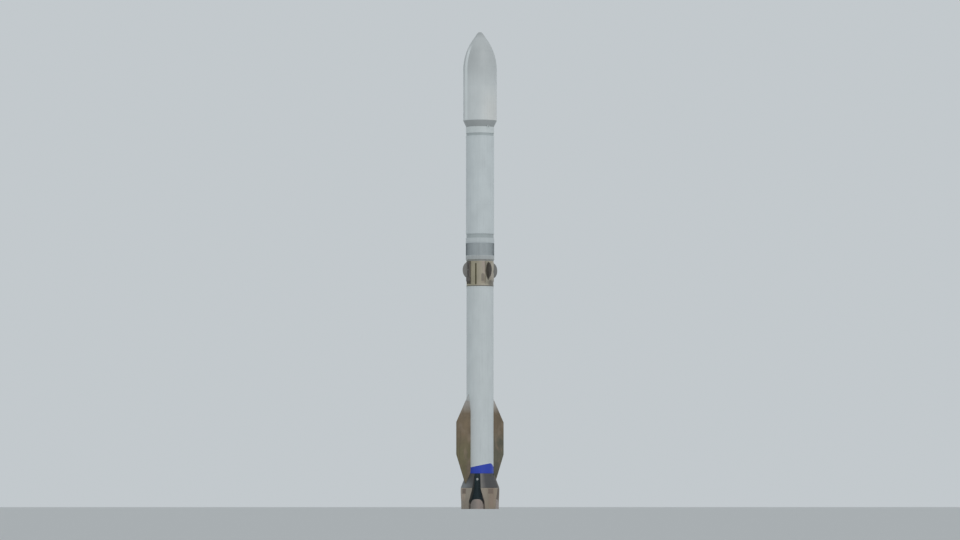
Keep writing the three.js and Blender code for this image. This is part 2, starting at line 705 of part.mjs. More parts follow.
function hingeEars() {
  const ear = [
    [RING_R - 0.1 * M, HINGE.earLow],
    [RING_R, HINGE.earLow],
    [HINGE.y + HINGE.eyeR, HINGE.z],
    [HINGE.y - HINGE.eyeR, HINGE.z],
    [RING_R, Z.payloadRingTop - 0.2 * M],
    [RING_R - 0.1 * M, Z.payloadRingTop - 0.2 * M],
  ];
  return hingePlate(ear, HINGE.earFrom, HINGE.earTo)
    .add(hingePlate(ear, -HINGE.earTo, -HINGE.earFrom))
    .add(rod(HINGE.pinR, -HINGE.earTo, HINGE.earTo, -HINGE.y, HINGE.z, PIN_ROUND));
}

const ears = hingeEars();
const bareRing = disc(RING_R, Z.forwardGrooveTop, Z.payloadRingTop - GAP);
add("payload_ring", bareRing.add(ears).add(bearing(ears, 180)), WHITE);

// Payload adapter: the cone inside the fairing, with the flat ring that a payload is bolted to
const ADAPTER = { footR: 3.25 * M, topR: 1.6 * M, flangeR: 1.75 * M, coneTop: 102.0 * M, top: 102.25 * M };
add("payload_adapter", turned([
  [0, Z.payloadRingTop],
  [ADAPTER.footR, Z.payloadRingTop],
  [ADAPTER.topR, ADAPTER.coneTop],
  [ADAPTER.flangeR, ADAPTER.coneTop],
  [ADAPTER.flangeR, ADAPTER.top],
  [0, ADAPTER.top],
]), INTERSTAGE_GREY);

// Fairing: a hollow shell in two halves that meet in the plane of X and Z. Its nose is a round
// tip, then a short cone, then a long arc down to the cylinder.
const FAIRING_WALL = 0.08 * M;
const BOATTAIL_R = 3.58 * M;
const TRIM = { proud: 0.015 * M, sunk: 0.03 * M };
const RAIL = { half: 0.13 * M, low: 101.6 * M, high: 119.6 * M };
const OVER_NOSE = 130 * M; // a height above the whole rocket
const VENTS = { count: 8, r: 0.14 * M, z: 103.0 * M, sides: 8 };
const fairingDoors = [
  // bearings and heights of a door's sides, on the half that faces minus Y
  { from: 213, to: 231, low: 106.8 * M, high: 108.6 * M },
  { from: 262, to: 274, low: 106.8 * M, high: 108.2 * M },
  { from: 295, to: 315, low: 111.5 * M, high: 113.5 * M },
];
const NOSE = { tipR: 0.83 * M, coneDegrees: 35.4, shoulderR: 14.04 * M, tipSteps: 3, shoulderSteps: 6 };

// The fairing's outline, set in by the wall or not
function fairingProfile(wall) {
  const slope = THREE.MathUtils.degToRad(NOSE.coneDegrees);
  const shoulder = arc(
    FAIRING_R - NOSE.shoulderR,
    Z.shoulder,
    NOSE.shoulderR - wall,
    0,
    NOSE.coneDegrees,
    NOSE.shoulderSteps,
  );
  const shoulderEnd = FAIRING_R - NOSE.shoulderR * (1 - Math.cos(slope));
  const coneEnd = NOSE.tipR * Math.cos(slope);
  const rise = (shoulderEnd - coneEnd) / Math.tan(slope);
  const tipCentre = Z.shoulder + NOSE.shoulderR * Math.sin(slope) + rise - NOSE.tipR * Math.sin(slope);
  return [
    [BOATTAIL_R - wall, Z.payloadRingTop],
    [FAIRING_R - wall, Z.boattailTop],
    ...shoulder,
    ...dome(0, tipCentre, NOSE.tipR - wall, NOSE.coneDegrees, NOSE.tipSteps),
  ];
}

// Rails along the split, a little proud of the shell
function fairingRails() {
  const proud = turned([...fairingProfile(TRIM.sunk).reverse(), ...fairingProfile(-TRIM.proud)]);
  const alongSplit = box([-FAIRING_R - M, -RAIL.half, RAIL.low], [FAIRING_R + M, RAIL.half, RAIL.high]);
  return proud.intersect(alongSplit);
}

// Doors and vents, in front of the shell that they close
function fairingFittings() {
  const doors = fairingDoors.map((door) => sectorBlock(FAIRING_R, TRIM.sunk, TRIM.proud, door));
  const vent = rod(VENTS.r, FAIRING_R - TRIM.sunk, FAIRING_R + TRIM.proud, 0, VENTS.z, VENTS.sides);
  const vents = Array.from({ length: VENTS.count }, (_, i) => (
    bearing(vent, 180 + (180 * (i + 0.5)) / VENTS.count)
  ));
  return [...doors, ...vents];
}

function fairingHalf() {
  const inside = fairingProfile(FAIRING_WALL).reverse();
  const plain = turned([...inside, ...fairingProfile(0)]).add(fairingRails());
  const shell = fairingFittings().reduce((done, fitting) => done.add(fitting), plain);
  const side = box([-FAIRING_R - M, -FAIRING_R - M, 0], [FAIRING_R + M, -GAP / 2, OVER_NOSE]);
  const surfaceY = BOATTAIL_R + 0.03 * M;
  const lug = hingePlate([
    [surfaceY - 0.08 * M, HINGE.z - 0.05 * M],
    [HINGE.y, HINGE.z - HINGE.eyeR],
    [HINGE.y, HINGE.z + HINGE.eyeR],
    [surfaceY - 0.02 * M, HINGE.z + 0.35 * M],
  ], -HINGE.lugHalf, HINGE.lugHalf);
  const bore = rod(HINGE.boreR, -HINGE.earTo, HINGE.earTo, -HINGE.y, HINGE.z, PIN_ROUND);
  return shell.intersect(side).add(lug).subtract(bore);
}

const half = fairingHalf();
add("fairing_half_1", half, FAIRING_WHITE);
add("fairing_half_2", bearing(half, 180), FAIRING_WHITE);

export default group;
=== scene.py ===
# %% [markdown]
# # Dressing a heavy-lift space rocket
#
# The frame that this notebook loads is a plain 1:10 model of a two-stage rocket: round tanks with flat
# sides, wedges, petals and bells. Here each of those solids gets the surface that the real thing has.
# The frame says where everything is, so a new piece is built straight in its place, in metres.

# %% Load the frame
import json
from math import atan2, copysign, cos, hypot, pi, radians, sin, sqrt, tan

import bmesh
import bpy
from mathutils import Matrix, Vector

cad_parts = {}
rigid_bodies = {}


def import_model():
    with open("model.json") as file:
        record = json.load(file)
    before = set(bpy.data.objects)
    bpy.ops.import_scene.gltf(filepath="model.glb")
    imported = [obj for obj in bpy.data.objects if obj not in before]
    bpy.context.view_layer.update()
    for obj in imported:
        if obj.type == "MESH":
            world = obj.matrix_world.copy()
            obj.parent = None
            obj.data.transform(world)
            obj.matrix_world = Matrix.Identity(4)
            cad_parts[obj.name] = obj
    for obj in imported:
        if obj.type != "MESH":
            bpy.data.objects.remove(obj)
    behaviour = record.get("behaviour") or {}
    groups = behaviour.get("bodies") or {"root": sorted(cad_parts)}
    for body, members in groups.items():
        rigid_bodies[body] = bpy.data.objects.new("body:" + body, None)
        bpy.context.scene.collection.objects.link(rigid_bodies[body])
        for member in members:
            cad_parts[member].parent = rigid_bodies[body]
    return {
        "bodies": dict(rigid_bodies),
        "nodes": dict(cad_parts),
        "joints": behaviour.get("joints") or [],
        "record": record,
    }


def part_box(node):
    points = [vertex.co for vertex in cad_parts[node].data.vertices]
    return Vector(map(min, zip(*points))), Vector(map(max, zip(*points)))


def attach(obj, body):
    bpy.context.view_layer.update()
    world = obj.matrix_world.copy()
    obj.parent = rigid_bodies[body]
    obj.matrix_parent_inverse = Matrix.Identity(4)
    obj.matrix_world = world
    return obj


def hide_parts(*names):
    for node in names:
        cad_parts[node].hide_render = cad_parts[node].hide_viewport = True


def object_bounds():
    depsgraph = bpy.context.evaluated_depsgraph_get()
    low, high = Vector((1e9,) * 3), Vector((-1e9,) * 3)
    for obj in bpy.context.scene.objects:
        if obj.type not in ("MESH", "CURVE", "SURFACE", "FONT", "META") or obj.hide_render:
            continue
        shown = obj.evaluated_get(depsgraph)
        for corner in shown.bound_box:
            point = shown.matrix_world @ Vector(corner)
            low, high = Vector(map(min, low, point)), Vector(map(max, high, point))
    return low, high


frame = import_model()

CAD_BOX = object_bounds()
print("box", [round(v, 3) for corner in CAD_BOX for v in corner])

# %% [markdown]
# ## The camera
#
# The rocket is photographed from far away and from low down, with a long lens, so its sides hardly
# converge even though the camera tilts up at it. Its strakes are turned away from the picture by a third
# of a right angle or so, and the camera walks round by that much.

# %% Camera
PHOTO_BEARING = radians(-34)
CAMERA_AWAY = 129.0
CAMERA_UP = 0.06
IMAGE_W = 960
TALL_IN_PIXELS = 478
SENSOR = 36.0

foot, tall = CAD_BOX[0].z, CAD_BOX[1].z
camera_data = bpy.data.cameras.new("camera")
camera_data.sensor_width = SENSOR
camera_data.lens = SENSOR * TALL_IN_PIXELS / IMAGE_W * CAMERA_AWAY / (tall - foot)
camera_data.clip_end = 1000
camera = bpy.data.objects.new("camera", camera_data)
camera.location = (CAMERA_AWAY * sin(PHOTO_BEARING), -CAMERA_AWAY * cos(PHOTO_BEARING), CAMERA_UP)
tilt = atan2((foot + tall) / 2 - CAMERA_UP, CAMERA_AWAY)
camera.rotation_euler = (pi / 2 + tilt, 0, PHOTO_BEARING)
bpy.context.scene.collection.objects.link(camera)
bpy.context.scene.camera = camera
print("lens", round(camera_data.lens), "mm")

# %% [markdown]
# ## Light and floor
#
# The day is bright but overcast, so the rocket is lit from all round, and white paint looks greyer than
# the sky. A pale world and a pale floor give that. A broad sun from the right front, whose shadows
# have very soft edges, makes the right side a little brighter than the left.

# %% World and sun
SKY = (0.745, 0.80, 0.835)
SKY_STRENGTH = 0.73
SUN_STRENGTH, SUN_SPREAD = 0.51, radians(40)
SUN_BEARING, SUN_HEIGHT = radians(-10), radians(30)

def empty_net(owner):
    """The nodes and links of a world or a material, with nothing in them yet."""
    owner.use_nodes = True
    owner.node_tree.nodes.clear()
    return owner.node_tree.nodes, owner.node_tree.links

world = bpy.data.worlds.new("overcast")
bpy.context.scene.world = world
nodes, links = empty_net(world)
sky = nodes.new("ShaderNodeBackground")
sky.inputs["Color"].default_value = (*SKY, 1)
sky.inputs["Strength"].default_value = SKY_STRENGTH
links.new(sky.outputs[0], nodes.new("ShaderNodeOutputWorld").inputs[0])

sun_data = bpy.data.lights.new("broad_sun", "SUN")
sun_data.energy = SUN_STRENGTH
sun_data.angle = SUN_SPREAD
sun = bpy.data.objects.new("broad_sun", sun_data)
sun.rotation_euler = (pi / 2 - SUN_HEIGHT, 0, SUN_BEARING)
bpy.context.scene.collection.objects.link(sun)
bpy.context.scene.view_settings.view_transform = "Standard"
print("sky", SKY_STRENGTH, "sun", SUN_STRENGTH)

# %% Floor
FLOOR, FLOOR_ROUGHNESS, FLOOR_HALF = (0.60, 0.61, 0.61), 0.95, 450

pale = bpy.data.materials.new("pale_floor")
nodes, links = empty_net(pale)
shader = nodes.new("ShaderNodeBsdfPrincipled")
shader.inputs["Base Color"].default_value = (*FLOOR, 1)
shader.inputs["Roughness"].default_value = FLOOR_ROUGHNESS
links.new(shader.outputs[0], nodes.new("ShaderNodeOutputMaterial").inputs[0])

floor_bm = bmesh.new()
bmesh.ops.create_grid(floor_bm, x_segments=1, y_segments=1, size=FLOOR_HALF)
floor_mesh = bpy.data.meshes.new("floor")
floor_bm.to_mesh(floor_mesh)
floor_bm.free()
floor_mesh.materials.append(pale)
floor = bpy.data.objects.new("floor", floor_mesh)
floor.location.z = foot
bpy.context.scene.collection.objects.link(floor)
print("floor", 2 * FLOOR_HALF, "m across")

# %% [markdown]
# ## Paint that has been outdoors
#
# Almost everything here is painted or coated metal, and real paint is never one colour. Each finish is
# the same small recipe with other numbers: a base colour, broad soft blotches, rain streaks that run
# down, a fine grain in the bump, and a roughness that wanders with the blotches. All of it reads Object
# coordinates, so it stays put on the piece.
#
# A finish is a net of nodes. Written out, every node with its links would hide the recipe, so a few
# small functions add one node each and give back its output. They take a net, which holds the nodes, the
# links and the place on the piece that all of them read.

# %% The nodes of a finish
MIX_INPUTS, MIX_OUTPUT = (0, 6, 7), 2

class Net:
    """The nodes of one finish, and the place on the piece that they read."""
    def __init__(self, material):
        self.nodes, self.links = empty_net(material)
        self.place = self.nodes.new("ShaderNodeTexCoord").outputs["Object"]

def feed(net, socket, value):
    """Links an output to a socket, or sets the socket to a number or a colour."""
    if hasattr(value, "is_output"):
        net.links.new(value, socket)
    else:
        socket.default_value = value if isinstance(value, (int, float)) else (*value, 1)

def maths(net, operation, first, second=0.0):
    node = net.nodes.new("ShaderNodeMath")
    node.operation = operation
    for socket, value in zip(node.inputs, (first, second)):
        feed(net, socket, value)
    return node.outputs[0]

def noise(net, scale, stretch=1.0, detail=4.0):
    """Soft noise in Object coordinates. A stretch over one draws it out along Z."""
    mapping = net.nodes.new("ShaderNodeMapping")
    mapping.inputs["Scale"].default_value = (1, 1, 1 / stretch)
    net.links.new(net.place, mapping.inputs["Vector"])
    texture = net.nodes.new("ShaderNodeTexNoise")
    texture.inputs["Scale"].default_value = scale
    texture.inputs["Detail"].default_value = detail
    net.links.new(mapping.outputs[0], texture.inputs["Vector"])
    return texture.outputs["Fac"]

def ramp(net, factor, low, high, dark, light):
    """A smooth blend of two colours, as a factor goes from low to high."""
    node = net.nodes.new("ShaderNodeValToRGB")
    for element, position, colour in zip(node.color_ramp.elements, (low, high), (dark, light)):
        element.position = position
        element.color = (*colour, 1)
    net.links.new(factor, node.inputs[0])
    return node.outputs["Color"]

def mix(net, factor, first, second):
    node = net.nodes.new("ShaderNodeMix")
    node.data_type = "RGBA"
    for index, value in zip(MIX_INPUTS, (factor, first, second)):
        feed(net, node.inputs[index], value)
    return node.outputs[MIX_OUTPUT]

# %% The recipe for a painted finish
MATERIALS = {}
CLOUD_SCALE, CLOUD_STRETCH, CLOUD_BLEND = 3.0, 1.6, (0.3, 0.7)
RAIN_SCALE, RAIN_STRETCH, RAIN_DETAIL = 26.0, 30.0, 2.0
RAIN_BLEND, RAIN_SHADE = (0.52, 0.75), 0.35
GRAIN_SCALE, GRAIN_DETAIL, GRAIN_HIGH = 240.0, 3.0, 0.001
ROUGHER = 0.08

def shade(colour, by):
    return tuple(max(0.0, min(1.0, v * by)) for v in colour)

def coated(name, colour, roughness=0.5, metallic=0.0, vary=0.06, streak=0.05, grain=0.15, patches=()):
    """A painted finish. Each patch is a mask and the colour that shows where the mask is one."""
    material = bpy.data.materials.new(name)
    net = Net(material)
    shader = net.nodes.new("ShaderNodeBsdfPrincipled")
    shader.inputs["Metallic"].default_value = metallic
    clouds = noise(net, CLOUD_SCALE, CLOUD_STRETCH)

    def clouded(tone):
        return ramp(net, clouds, *CLOUD_BLEND, shade(tone, 1 - vary), shade(tone, 1 + vary))

    base = clouded(colour)
    for mask, other in patches:
        base = mix(net, mask(net), base, clouded(other))
    rain = noise(net, RAIN_SCALE, RAIN_STRETCH, RAIN_DETAIL)
    rain_mask = ramp(net, rain, *RAIN_BLEND, (0, 0, 0), (streak,) * 3)
    net.links.new(mix(net, rain_mask, base, shade(colour, RAIN_SHADE)), shader.inputs["Base Color"])
    rough = ramp(net, clouds, *CLOUD_BLEND, (roughness - ROUGHER,) * 3, (roughness + ROUGHER,) * 3)
    net.links.new(rough, shader.inputs["Roughness"])
    bump = net.nodes.new("ShaderNodeBump")
    bump.inputs["Strength"].default_value = grain
    bump.inputs["Distance"].default_value = GRAIN_HIGH
    net.links.new(noise(net, GRAIN_SCALE, detail=GRAIN_DETAIL), bump.inputs["Height"])
    net.links.new(bump.outputs[0], shader.inputs["Normal"])
    net.links.new(shader.outputs[0], net.nodes.new("ShaderNodeOutputMaterial").inputs[0])
    MATERIALS[name] = material

# %% [markdown]
# Where a second colour shows is a mask: a small net of nodes that gives one inside the patch and zero
# outside it. Some masks read the height, some the side that the photograph sees, and some are noise.
# The blue band's upper edge climbs to the right, and rounds over near its high end.

# %% Masks
BAND_MIDDLE, BAND_CLIMB = 1.135, 0.206
BAND_ROUND_FROM, BAND_ROUND_FALL = 0.26, 13.8
SPLIT_STRIP = 0.060, 0.054
QUARTER, LIT_PETAL_FLANK, PETAL_MIDDLE = 90.0, (30.0, 15.0), (44.0, 46.0)

def axes_of(net):
    parts = net.nodes.new("ShaderNodeSeparateXYZ")
    net.links.new(net.place, parts.inputs[0])
    return parts.outputs["X"], parts.outputs["Y"], parts.outputs["Z"]

def fade(net, value, start, end):
    """Zero before the start and one past the end, which may be the smaller of the two."""
    node = net.nodes.new("ShaderNodeMapRange")
    node.inputs["From Min"].default_value = start
    node.inputs["From Max"].default_value = end
    net.links.new(value, node.inputs["Value"])
    return node.outputs["Result"]

def rightwards(net):
    """How far a place lies to the right of the axis, as the photograph sees it."""
    x, y, _ = axes_of(net)
    return maths(net, "ADD", maths(net, "MULTIPLY", x, cos(PHOTO_BEARING)),
                 maths(net, "MULTIPLY", y, sin(PHOTO_BEARING)))

def below_band_edge(net):
    across = rightwards(net)
    climb = maths(net, "ADD", maths(net, "MULTIPLY", across, BAND_CLIMB), BAND_MIDDLE)
    past = maths(net, "MAXIMUM", maths(net, "SUBTRACT", across, BAND_ROUND_FROM), 0.0)
    fall = maths(net, "MULTIPLY", maths(net, "MULTIPLY", past, past), BAND_ROUND_FALL)
    return maths(net, "LESS_THAN", axes_of(net)[2], maths(net, "SUBTRACT", climb, fall))

def heights(start, end):
    return lambda net: fade(net, axes_of(net)[2], start, end)

def to_the_right(start, end):
    return lambda net: fade(net, rightwards(net), start, end)

def stains(scale, stretch, start=0.52, end=0.66):
    return lambda net: fade(net, noise(net, scale, stretch), start, end)

def both(first, second):
    return lambda net: maths(net, "MULTIPLY", first(net), second(net))

def beside_split(net):
    """A strip on each side of the plane where the fairing's halves meet."""
    return fade(net, maths(net, "ABSOLUTE", axes_of(net)[1]), *SPLIT_STRIP)

def past_quarter(net):
    """Degrees from the middle of the nearest petal or fin, from 0 to 90 with the middle at 45."""
    x, y, _ = axes_of(net)
    bearing = maths(net, "DEGREES", maths(net, "ARCTAN2", y, x))
    return maths(net, "FLOORED_MODULO", maths(net, "ADD", bearing, QUARTER / 2), QUARTER)

def lit_petal_flank(net):
    """The flank of each petal with the lower bearings, which is painted lighter as painted light."""
    return fade(net, past_quarter(net), *LIT_PETAL_FLANK)

def beyond_middle(net):
    """The half of each petal with the higher bearings."""
    return fade(net, past_quarter(net), *PETAL_MIDDLE)

def from_axis(start, end):
    """A patch that begins at one distance from the rocket's axis and is full at another."""
    def mask(net):
        x, y, _ = axes_of(net)
        square = maths(net, "ADD", maths(net, "MULTIPLY", x, x), maths(net, "MULTIPLY", y, y))
        return fade(net, maths(net, "SQRT", square), start, end)
    return mask

petal_sides_in_shade = from_axis(0.499, 0.494)
lit_housing_front = from_axis(0.3865, 0.3875)

# %% [markdown]
# One mask is a shape of its own. The dark patch round the root of each fin is painted shade of the fin's
# face, and it is an upright lens: its half width, in degrees round the axis, falls from the middle with the
# square of the height.

# %% The mask beside a fin
LENS_Z, LENS_HALF_HIGH, LENS_HALF_WIDE, LENS_EDGE = 6.20, 0.25, 11.5, 0.4

def beside_fin_shade_lens(net):
    """What lies outside an upright lens of painted shade round a fin's root."""
    aside = maths(net, "ABSOLUTE", maths(net, "SUBTRACT", past_quarter(net), QUARTER / 2))
    share = maths(net, "DIVIDE", maths(net, "SUBTRACT", axes_of(net)[2], LENS_Z), LENS_HALF_HIGH)
    narrowing = maths(net, "MULTIPLY", maths(net, "MULTIPLY", share, share), LENS_HALF_WIDE)
    beyond = maths(net, "SUBTRACT", aside, maths(net, "SUBTRACT", LENS_HALF_WIDE, narrowing))
    return fade(net, beyond, -LENS_EDGE, LENS_EDGE)

# %% [markdown]
# With the recipe and the masks, every finish is one call. Its patches lie over each other in the order in
# which they are listed:
# some are stains and wear, and some are painted light and shade where a side or a face is lit or shaded.

# %% Finishes of the tanks, the interstage and the fairing
BLUE_PAINT = (0.024, 0.062, 0.50)
WHITE_PAINT = (0.705, 0.74, 0.74)
FAIRING_PAINT = (0.73, 0.755, 0.75)
UPPER_PAINT = (0.71, 0.75, 0.755)
BLUE_BAND = [(below_band_edge, BLUE_PAINT)]

coated("booster_white", WHITE_PAINT, 0.42, vary=0.04, streak=0.10, patches=BLUE_BAND)
coated("blue", WHITE_PAINT, 0.42, vary=0.05, streak=0.04, patches=BLUE_BAND)
coated("upper_white", UPPER_PAINT, 0.45, vary=0.05, streak=0.10, patches=[
    (heights(7.08, 7.07), shade(UPPER_PAINT, 0.91)),
])
coated("ring_white", (0.74, 0.775, 0.77), 0.45, vary=0.04, streak=0.06)
coated("fairing_white", FAIRING_PAINT, 0.40, vary=0.04, streak=0.06, patches=[
    # Painted highlight: low on the right side the fairing is painted lighter and warmer, where the sun
    # falls.
    (both(to_the_right(-0.05, 0.25), heights(11.10, 10.50)), (0.80, 0.80, 0.775)),
    # Painted shade: the nose is painted darker from its shoulder up, and darker again at the tip, to offset
    # the light on its upward faces.
    (heights(11.00, 11.70), shade(FAIRING_PAINT, 0.80)),
    (heights(12.30, 12.42), shade(FAIRING_PAINT, 0.66)),
    (both(beside_split, heights(12.15, 11.95)), (0.88, 0.91, 0.905)),
    # Painted shade: the flare at the foot faces down and is painted darker.
    (heights(10.142, 10.138), shade(FAIRING_PAINT, 0.64)),
])
coated("interstage_grey", (0.635, 0.675, 0.685), 0.5, vary=0.05, streak=0.12)
# The stringers are dark grey, and part of that darkness is painted shade between the ribs.
coated("stringer_grey_and_shade", (0.25, 0.275, 0.285), 0.5, vary=0.08, streak=0.08)
coated("band_grey", (0.49, 0.505, 0.50), 0.5, vary=0.05, streak=0.10)
coated("groove_grey", (0.50, 0.54, 0.54), 0.6, vary=0.08)

# %% Finishes of the module, the fins and the strakes
IN_HATCH_STRIP = both(to_the_right(0.02, 0.06), to_the_right(0.16, 0.12))
ROUND_HATCH = both(heights(5.86, 5.90), heights(6.12, 6.04))
LOWER_RIGHT = both(to_the_right(0.20, 0.26), heights(5.99, 5.93))

coated("bronze", (0.46, 0.41, 0.29), 0.38, metallic=0.25, vary=0.14, streak=0.14, patches=[
    # Painted light: the module is painted lighter on its right, where the sun falls. The lighter blotches
    # over that side are partly stains and partly painted light.
    (to_the_right(-0.15, 0.10), (0.51, 0.45, 0.355)),
    (both(stains(6.0, 2.5), to_the_right(-0.15, 0.10)), (0.55, 0.46, 0.39)),
    (both(IN_HATCH_STRIP, ROUND_HATCH), (0.43, 0.365, 0.285)),
    (LOWER_RIGHT, (0.29, 0.26, 0.215)),
])
coated("module_hatch", (0.31, 0.265, 0.215), 0.5, metallic=0.15, vary=0.12, streak=0.2)
coated("fin_brown", (0.145, 0.126, 0.110), 0.5, metallic=0.2, vary=0.2)
coated("housing_brown", (0.121, 0.106, 0.085), 0.5, metallic=0.2, vary=0.2, streak=0.1, patches=[
    # Painted light: the front face of the housing on the left is lighter than its sides, as that face meets
    # the light.
    (both(lit_housing_front, to_the_right(0.10, 0.05)), (0.190, 0.168, 0.160)),
    # Painted shade: on the housing to the right, the dark brown stays only in a lens round the fin's root,
    # as the fin's face in shade. Outside the lens it is painted like the module.
    (both(beside_fin_shade_lens, to_the_right(0.05, 0.10)), (0.47, 0.42, 0.33)),
    (LOWER_RIGHT, (0.29, 0.26, 0.215)),
])
coated("fin_face", (0.26, 0.25, 0.235), 0.42, metallic=0.3, vary=0.16, streak=0.12)
coated("fin_edge", (0.36, 0.35, 0.33), 0.45, metallic=0.3, vary=0.12)
coated("pipe_olive", (0.095, 0.082, 0.034), 0.5, metallic=0.2, vary=0.1)
coated("frame_grey", (0.33, 0.34, 0.33), 0.5, vary=0.1, streak=0.1, patches=[
    (heights(6.00, 5.90), (0.20, 0.19, 0.165)),
])
coated("strake_brown", (0.205, 0.151, 0.094), 0.6, vary=0.24, streak=0.25, patches=[
    (heights(1.95, 1.55), (0.180, 0.152, 0.082)),
    # Painted shade: low on the right strake the brown is painted darker.
    (both(heights(2.02, 1.80), to_the_right(0.25, 0.35)), (0.142, 0.130, 0.088)),
    (stains(4.0, 1.2), (0.25, 0.19, 0.13)),
    (heights(2.48, 2.74), (0.42, 0.385, 0.35)),
    (heights(2.80, 2.83), (0.50, 0.51, 0.50)),
])

# %% Finishes of the foot, the engines and the lining
coated("aft_brown", (0.079, 0.076, 0.076), 0.55, vary=0.18, streak=0.2, patches=[
    # Painted light: each upper petal's flank with the lower bearings is painted lighter, as it faces the
    # light.
    (lit_petal_flank, (0.215, 0.198, 0.182)),
    # Painted light: the upper petals on the left are painted a lighter grey low down, where the light
    # falls.
    (both(to_the_right(-0.15, -0.44), heights(0.84, 0.62)), (0.235, 0.245, 0.250)),
])
coated("aft_tan", (0.385, 0.33, 0.265), 0.5, metallic=0.15, vary=0.14, streak=0.22, patches=[
    (to_the_right(0.05, 0.30), (0.355, 0.285, 0.215)),
    (both(to_the_right(-0.36, -0.41), heights(0.20, 0.27)), (0.50, 0.40, 0.31)),
    (stains(7.0, 3.0), (0.36, 0.27, 0.21)),
    # Painted shade: the sides of the lower petals, behind their faces, are painted darker beside the
    # recesses, and darkest above the foot on the half with the higher bearings.
    (petal_sides_in_shade, (0.27, 0.225, 0.195)),
    (both(both(petal_sides_in_shade, beyond_middle), heights(0.12, 0.18)), (0.085, 0.088, 0.082)),
])
coated("hatch_brown", (0.25, 0.19, 0.15), 0.5, metallic=0.15, vary=0.12, streak=0.2)
coated("arch_tan", (0.29, 0.25, 0.225), 0.55, vary=0.14, streak=0.2, patches=[
    # Painted shade and light: the arch is darker at its left edge and lighter from there rightwards. The
    # lighter blotches on that part are partly stains and partly painted light.
    (to_the_right(-0.16, -0.08), (0.375, 0.310, 0.275)),
    (both(to_the_right(-0.16, -0.08), stains(9.0, 1.5)), (0.415, 0.325, 0.285)),
])
coated("recess_dark", (0.017, 0.034, 0.041), 0.7, vary=0.2)
coated("shield_grey", (0.24, 0.24, 0.24), 0.9, vary=0.15, grain=0.6)
coated("engine_metal", (0.36, 0.32, 0.28), 0.3, metallic=0.95, vary=0.2)
coated("bright_metal", (0.72, 0.72, 0.70), 0.3, metallic=0.9, vary=0.08, streak=0.02)
coated("lining_cream", (0.62, 0.57, 0.46), 0.85, vary=0.08, streak=0.0, grain=0.4)
print(len(MATERIALS), "finishes")

# %% [markdown]
# ## From a bmesh to a piece
#
# Every piece ends the same way. Doubled points are merged, faces shade smoothly except across corners,
# and the object sits at the origin with its place in its mesh. Then it rides on a body of the frame and
# takes the place of the plain solids that it stands for. Its slot says which material of the frame it
# has, and a finish is given where the piece shows a tone of its own.

# %% Finish a piece
CORNER, MERGE = radians(32), 2e-6

def make_piece(bm, name, slot, body="root", stands_for=(), corner=CORNER, finish=None):
    bmesh.ops.remove_doubles(bm, verts=bm.verts, dist=MERGE)
    for face in bm.faces:
        face.smooth = True
    for edge in bm.edges:
        edge.smooth = len(edge.link_faces) == 2 and edge.calc_face_angle(0) < corner
    mesh = bpy.data.meshes.new(name)
    bm.to_mesh(mesh)
    bm.free()
    mesh.materials.append(MATERIALS[finish or slot])
    piece = bpy.data.objects.new(name, mesh)
    bpy.context.scene.collection.objects.link(piece)
    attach(piece, body)
    if stands_for:
        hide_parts(*stands_for)
    print(name, len(mesh.polygons), "faces")
    return piece

# %% [markdown]
# ## Small parts and where they go
#
# A rocket is full of repeats: bolts round a flange, ribs round a ring, four legs, nine engines. A small
# part is modelled once, lying along X as if it grew out of the axis, and stamped wherever a matrix says.
# A bevel of a tenth of a millimetre is near the limit of what the operator resolves, so small parts are
# modelled a hundred times too large and then shrunk.

# %% Places and copies
def turned(degrees):
    return Matrix.Rotation(radians(degrees), 4, "Z")

def out_at(radius, degrees, height):
    """A place on the outside of a round body, with X pointing out of it and Z up."""
    return turned(degrees) @ Matrix.Translation((radius, 0, height))

def stamp(bm, part, places=(Matrix.Identity(4),)):
    """Copies a small bmesh into another at every place, and frees it."""
    mesh = bpy.data.meshes.new("stamp")
    part.to_mesh(mesh)
    part.free()
    for place in places:
        moved = mesh.copy()
        moved.transform(place)
        bm.from_mesh(moved)
        bpy.data.meshes.remove(moved)
    bpy.data.meshes.remove(mesh)

def stamped(part, places):
    """One new bmesh with the part at every place. The part itself is freed."""
    bm = bmesh.new()
    stamp(bm, part, places)
    return bm

def copies(part, places):
    """A new bmesh of the part for each place. The part itself is freed."""
    made = [stamped(part.copy(), [place]) for place in places]
    part.free()
    return made

# %% Edges, panels and outlines
def outwards(bm):
    bmesh.ops.remove_doubles(bm, verts=bm.verts, dist=MERGE)
    bmesh.ops.recalc_face_normals(bm, faces=bm.faces)
    return bm

def round_edges(bm, edges, offset, segments=2):
    bmesh.ops.bevel(bm, geom=edges, offset=offset, segments=segments, affect="EDGES", profile=0.5,
                    material=-1)

def sink_panel(bm, faces, frame, step, depth, even=False):
    """Leaves a flat frame inside the edge of a region, and sinks the rest over a narrow step."""
    bmesh.ops.inset_region(bm, faces=faces, thickness=frame, depth=0, use_even_offset=even)
    bmesh.ops.inset_region(bm, faces=faces, thickness=step, depth=-depth, use_even_offset=even)

def extruded(bm, faces):
    """Extrudes faces, keeps the old ones as a floor, and gives the new corners."""
    drawn = bmesh.ops.extrude_face_region(bm, geom=list(faces), use_keep_orig=True)["geom"]
    return [v for v in drawn if isinstance(v, bmesh.types.BMVert)]

def prism(points, by):
    """A flat outline, drawn out by a vector."""
    bm = bmesh.new()
    face = bm.faces.new([bm.verts.new(point) for point in points])
    bmesh.ops.translate(bm, vec=by, verts=extruded(bm, [face]))
    return outwards(bm)

def arc(across, up, radius, start, end, steps):
    """Points round a centre, from one turn to another, in radians."""
    turns = [start + (end - start) * i / steps for i in range(steps + 1)]
    return [(across + radius * cos(a), up + radius * sin(a)) for a in turns]

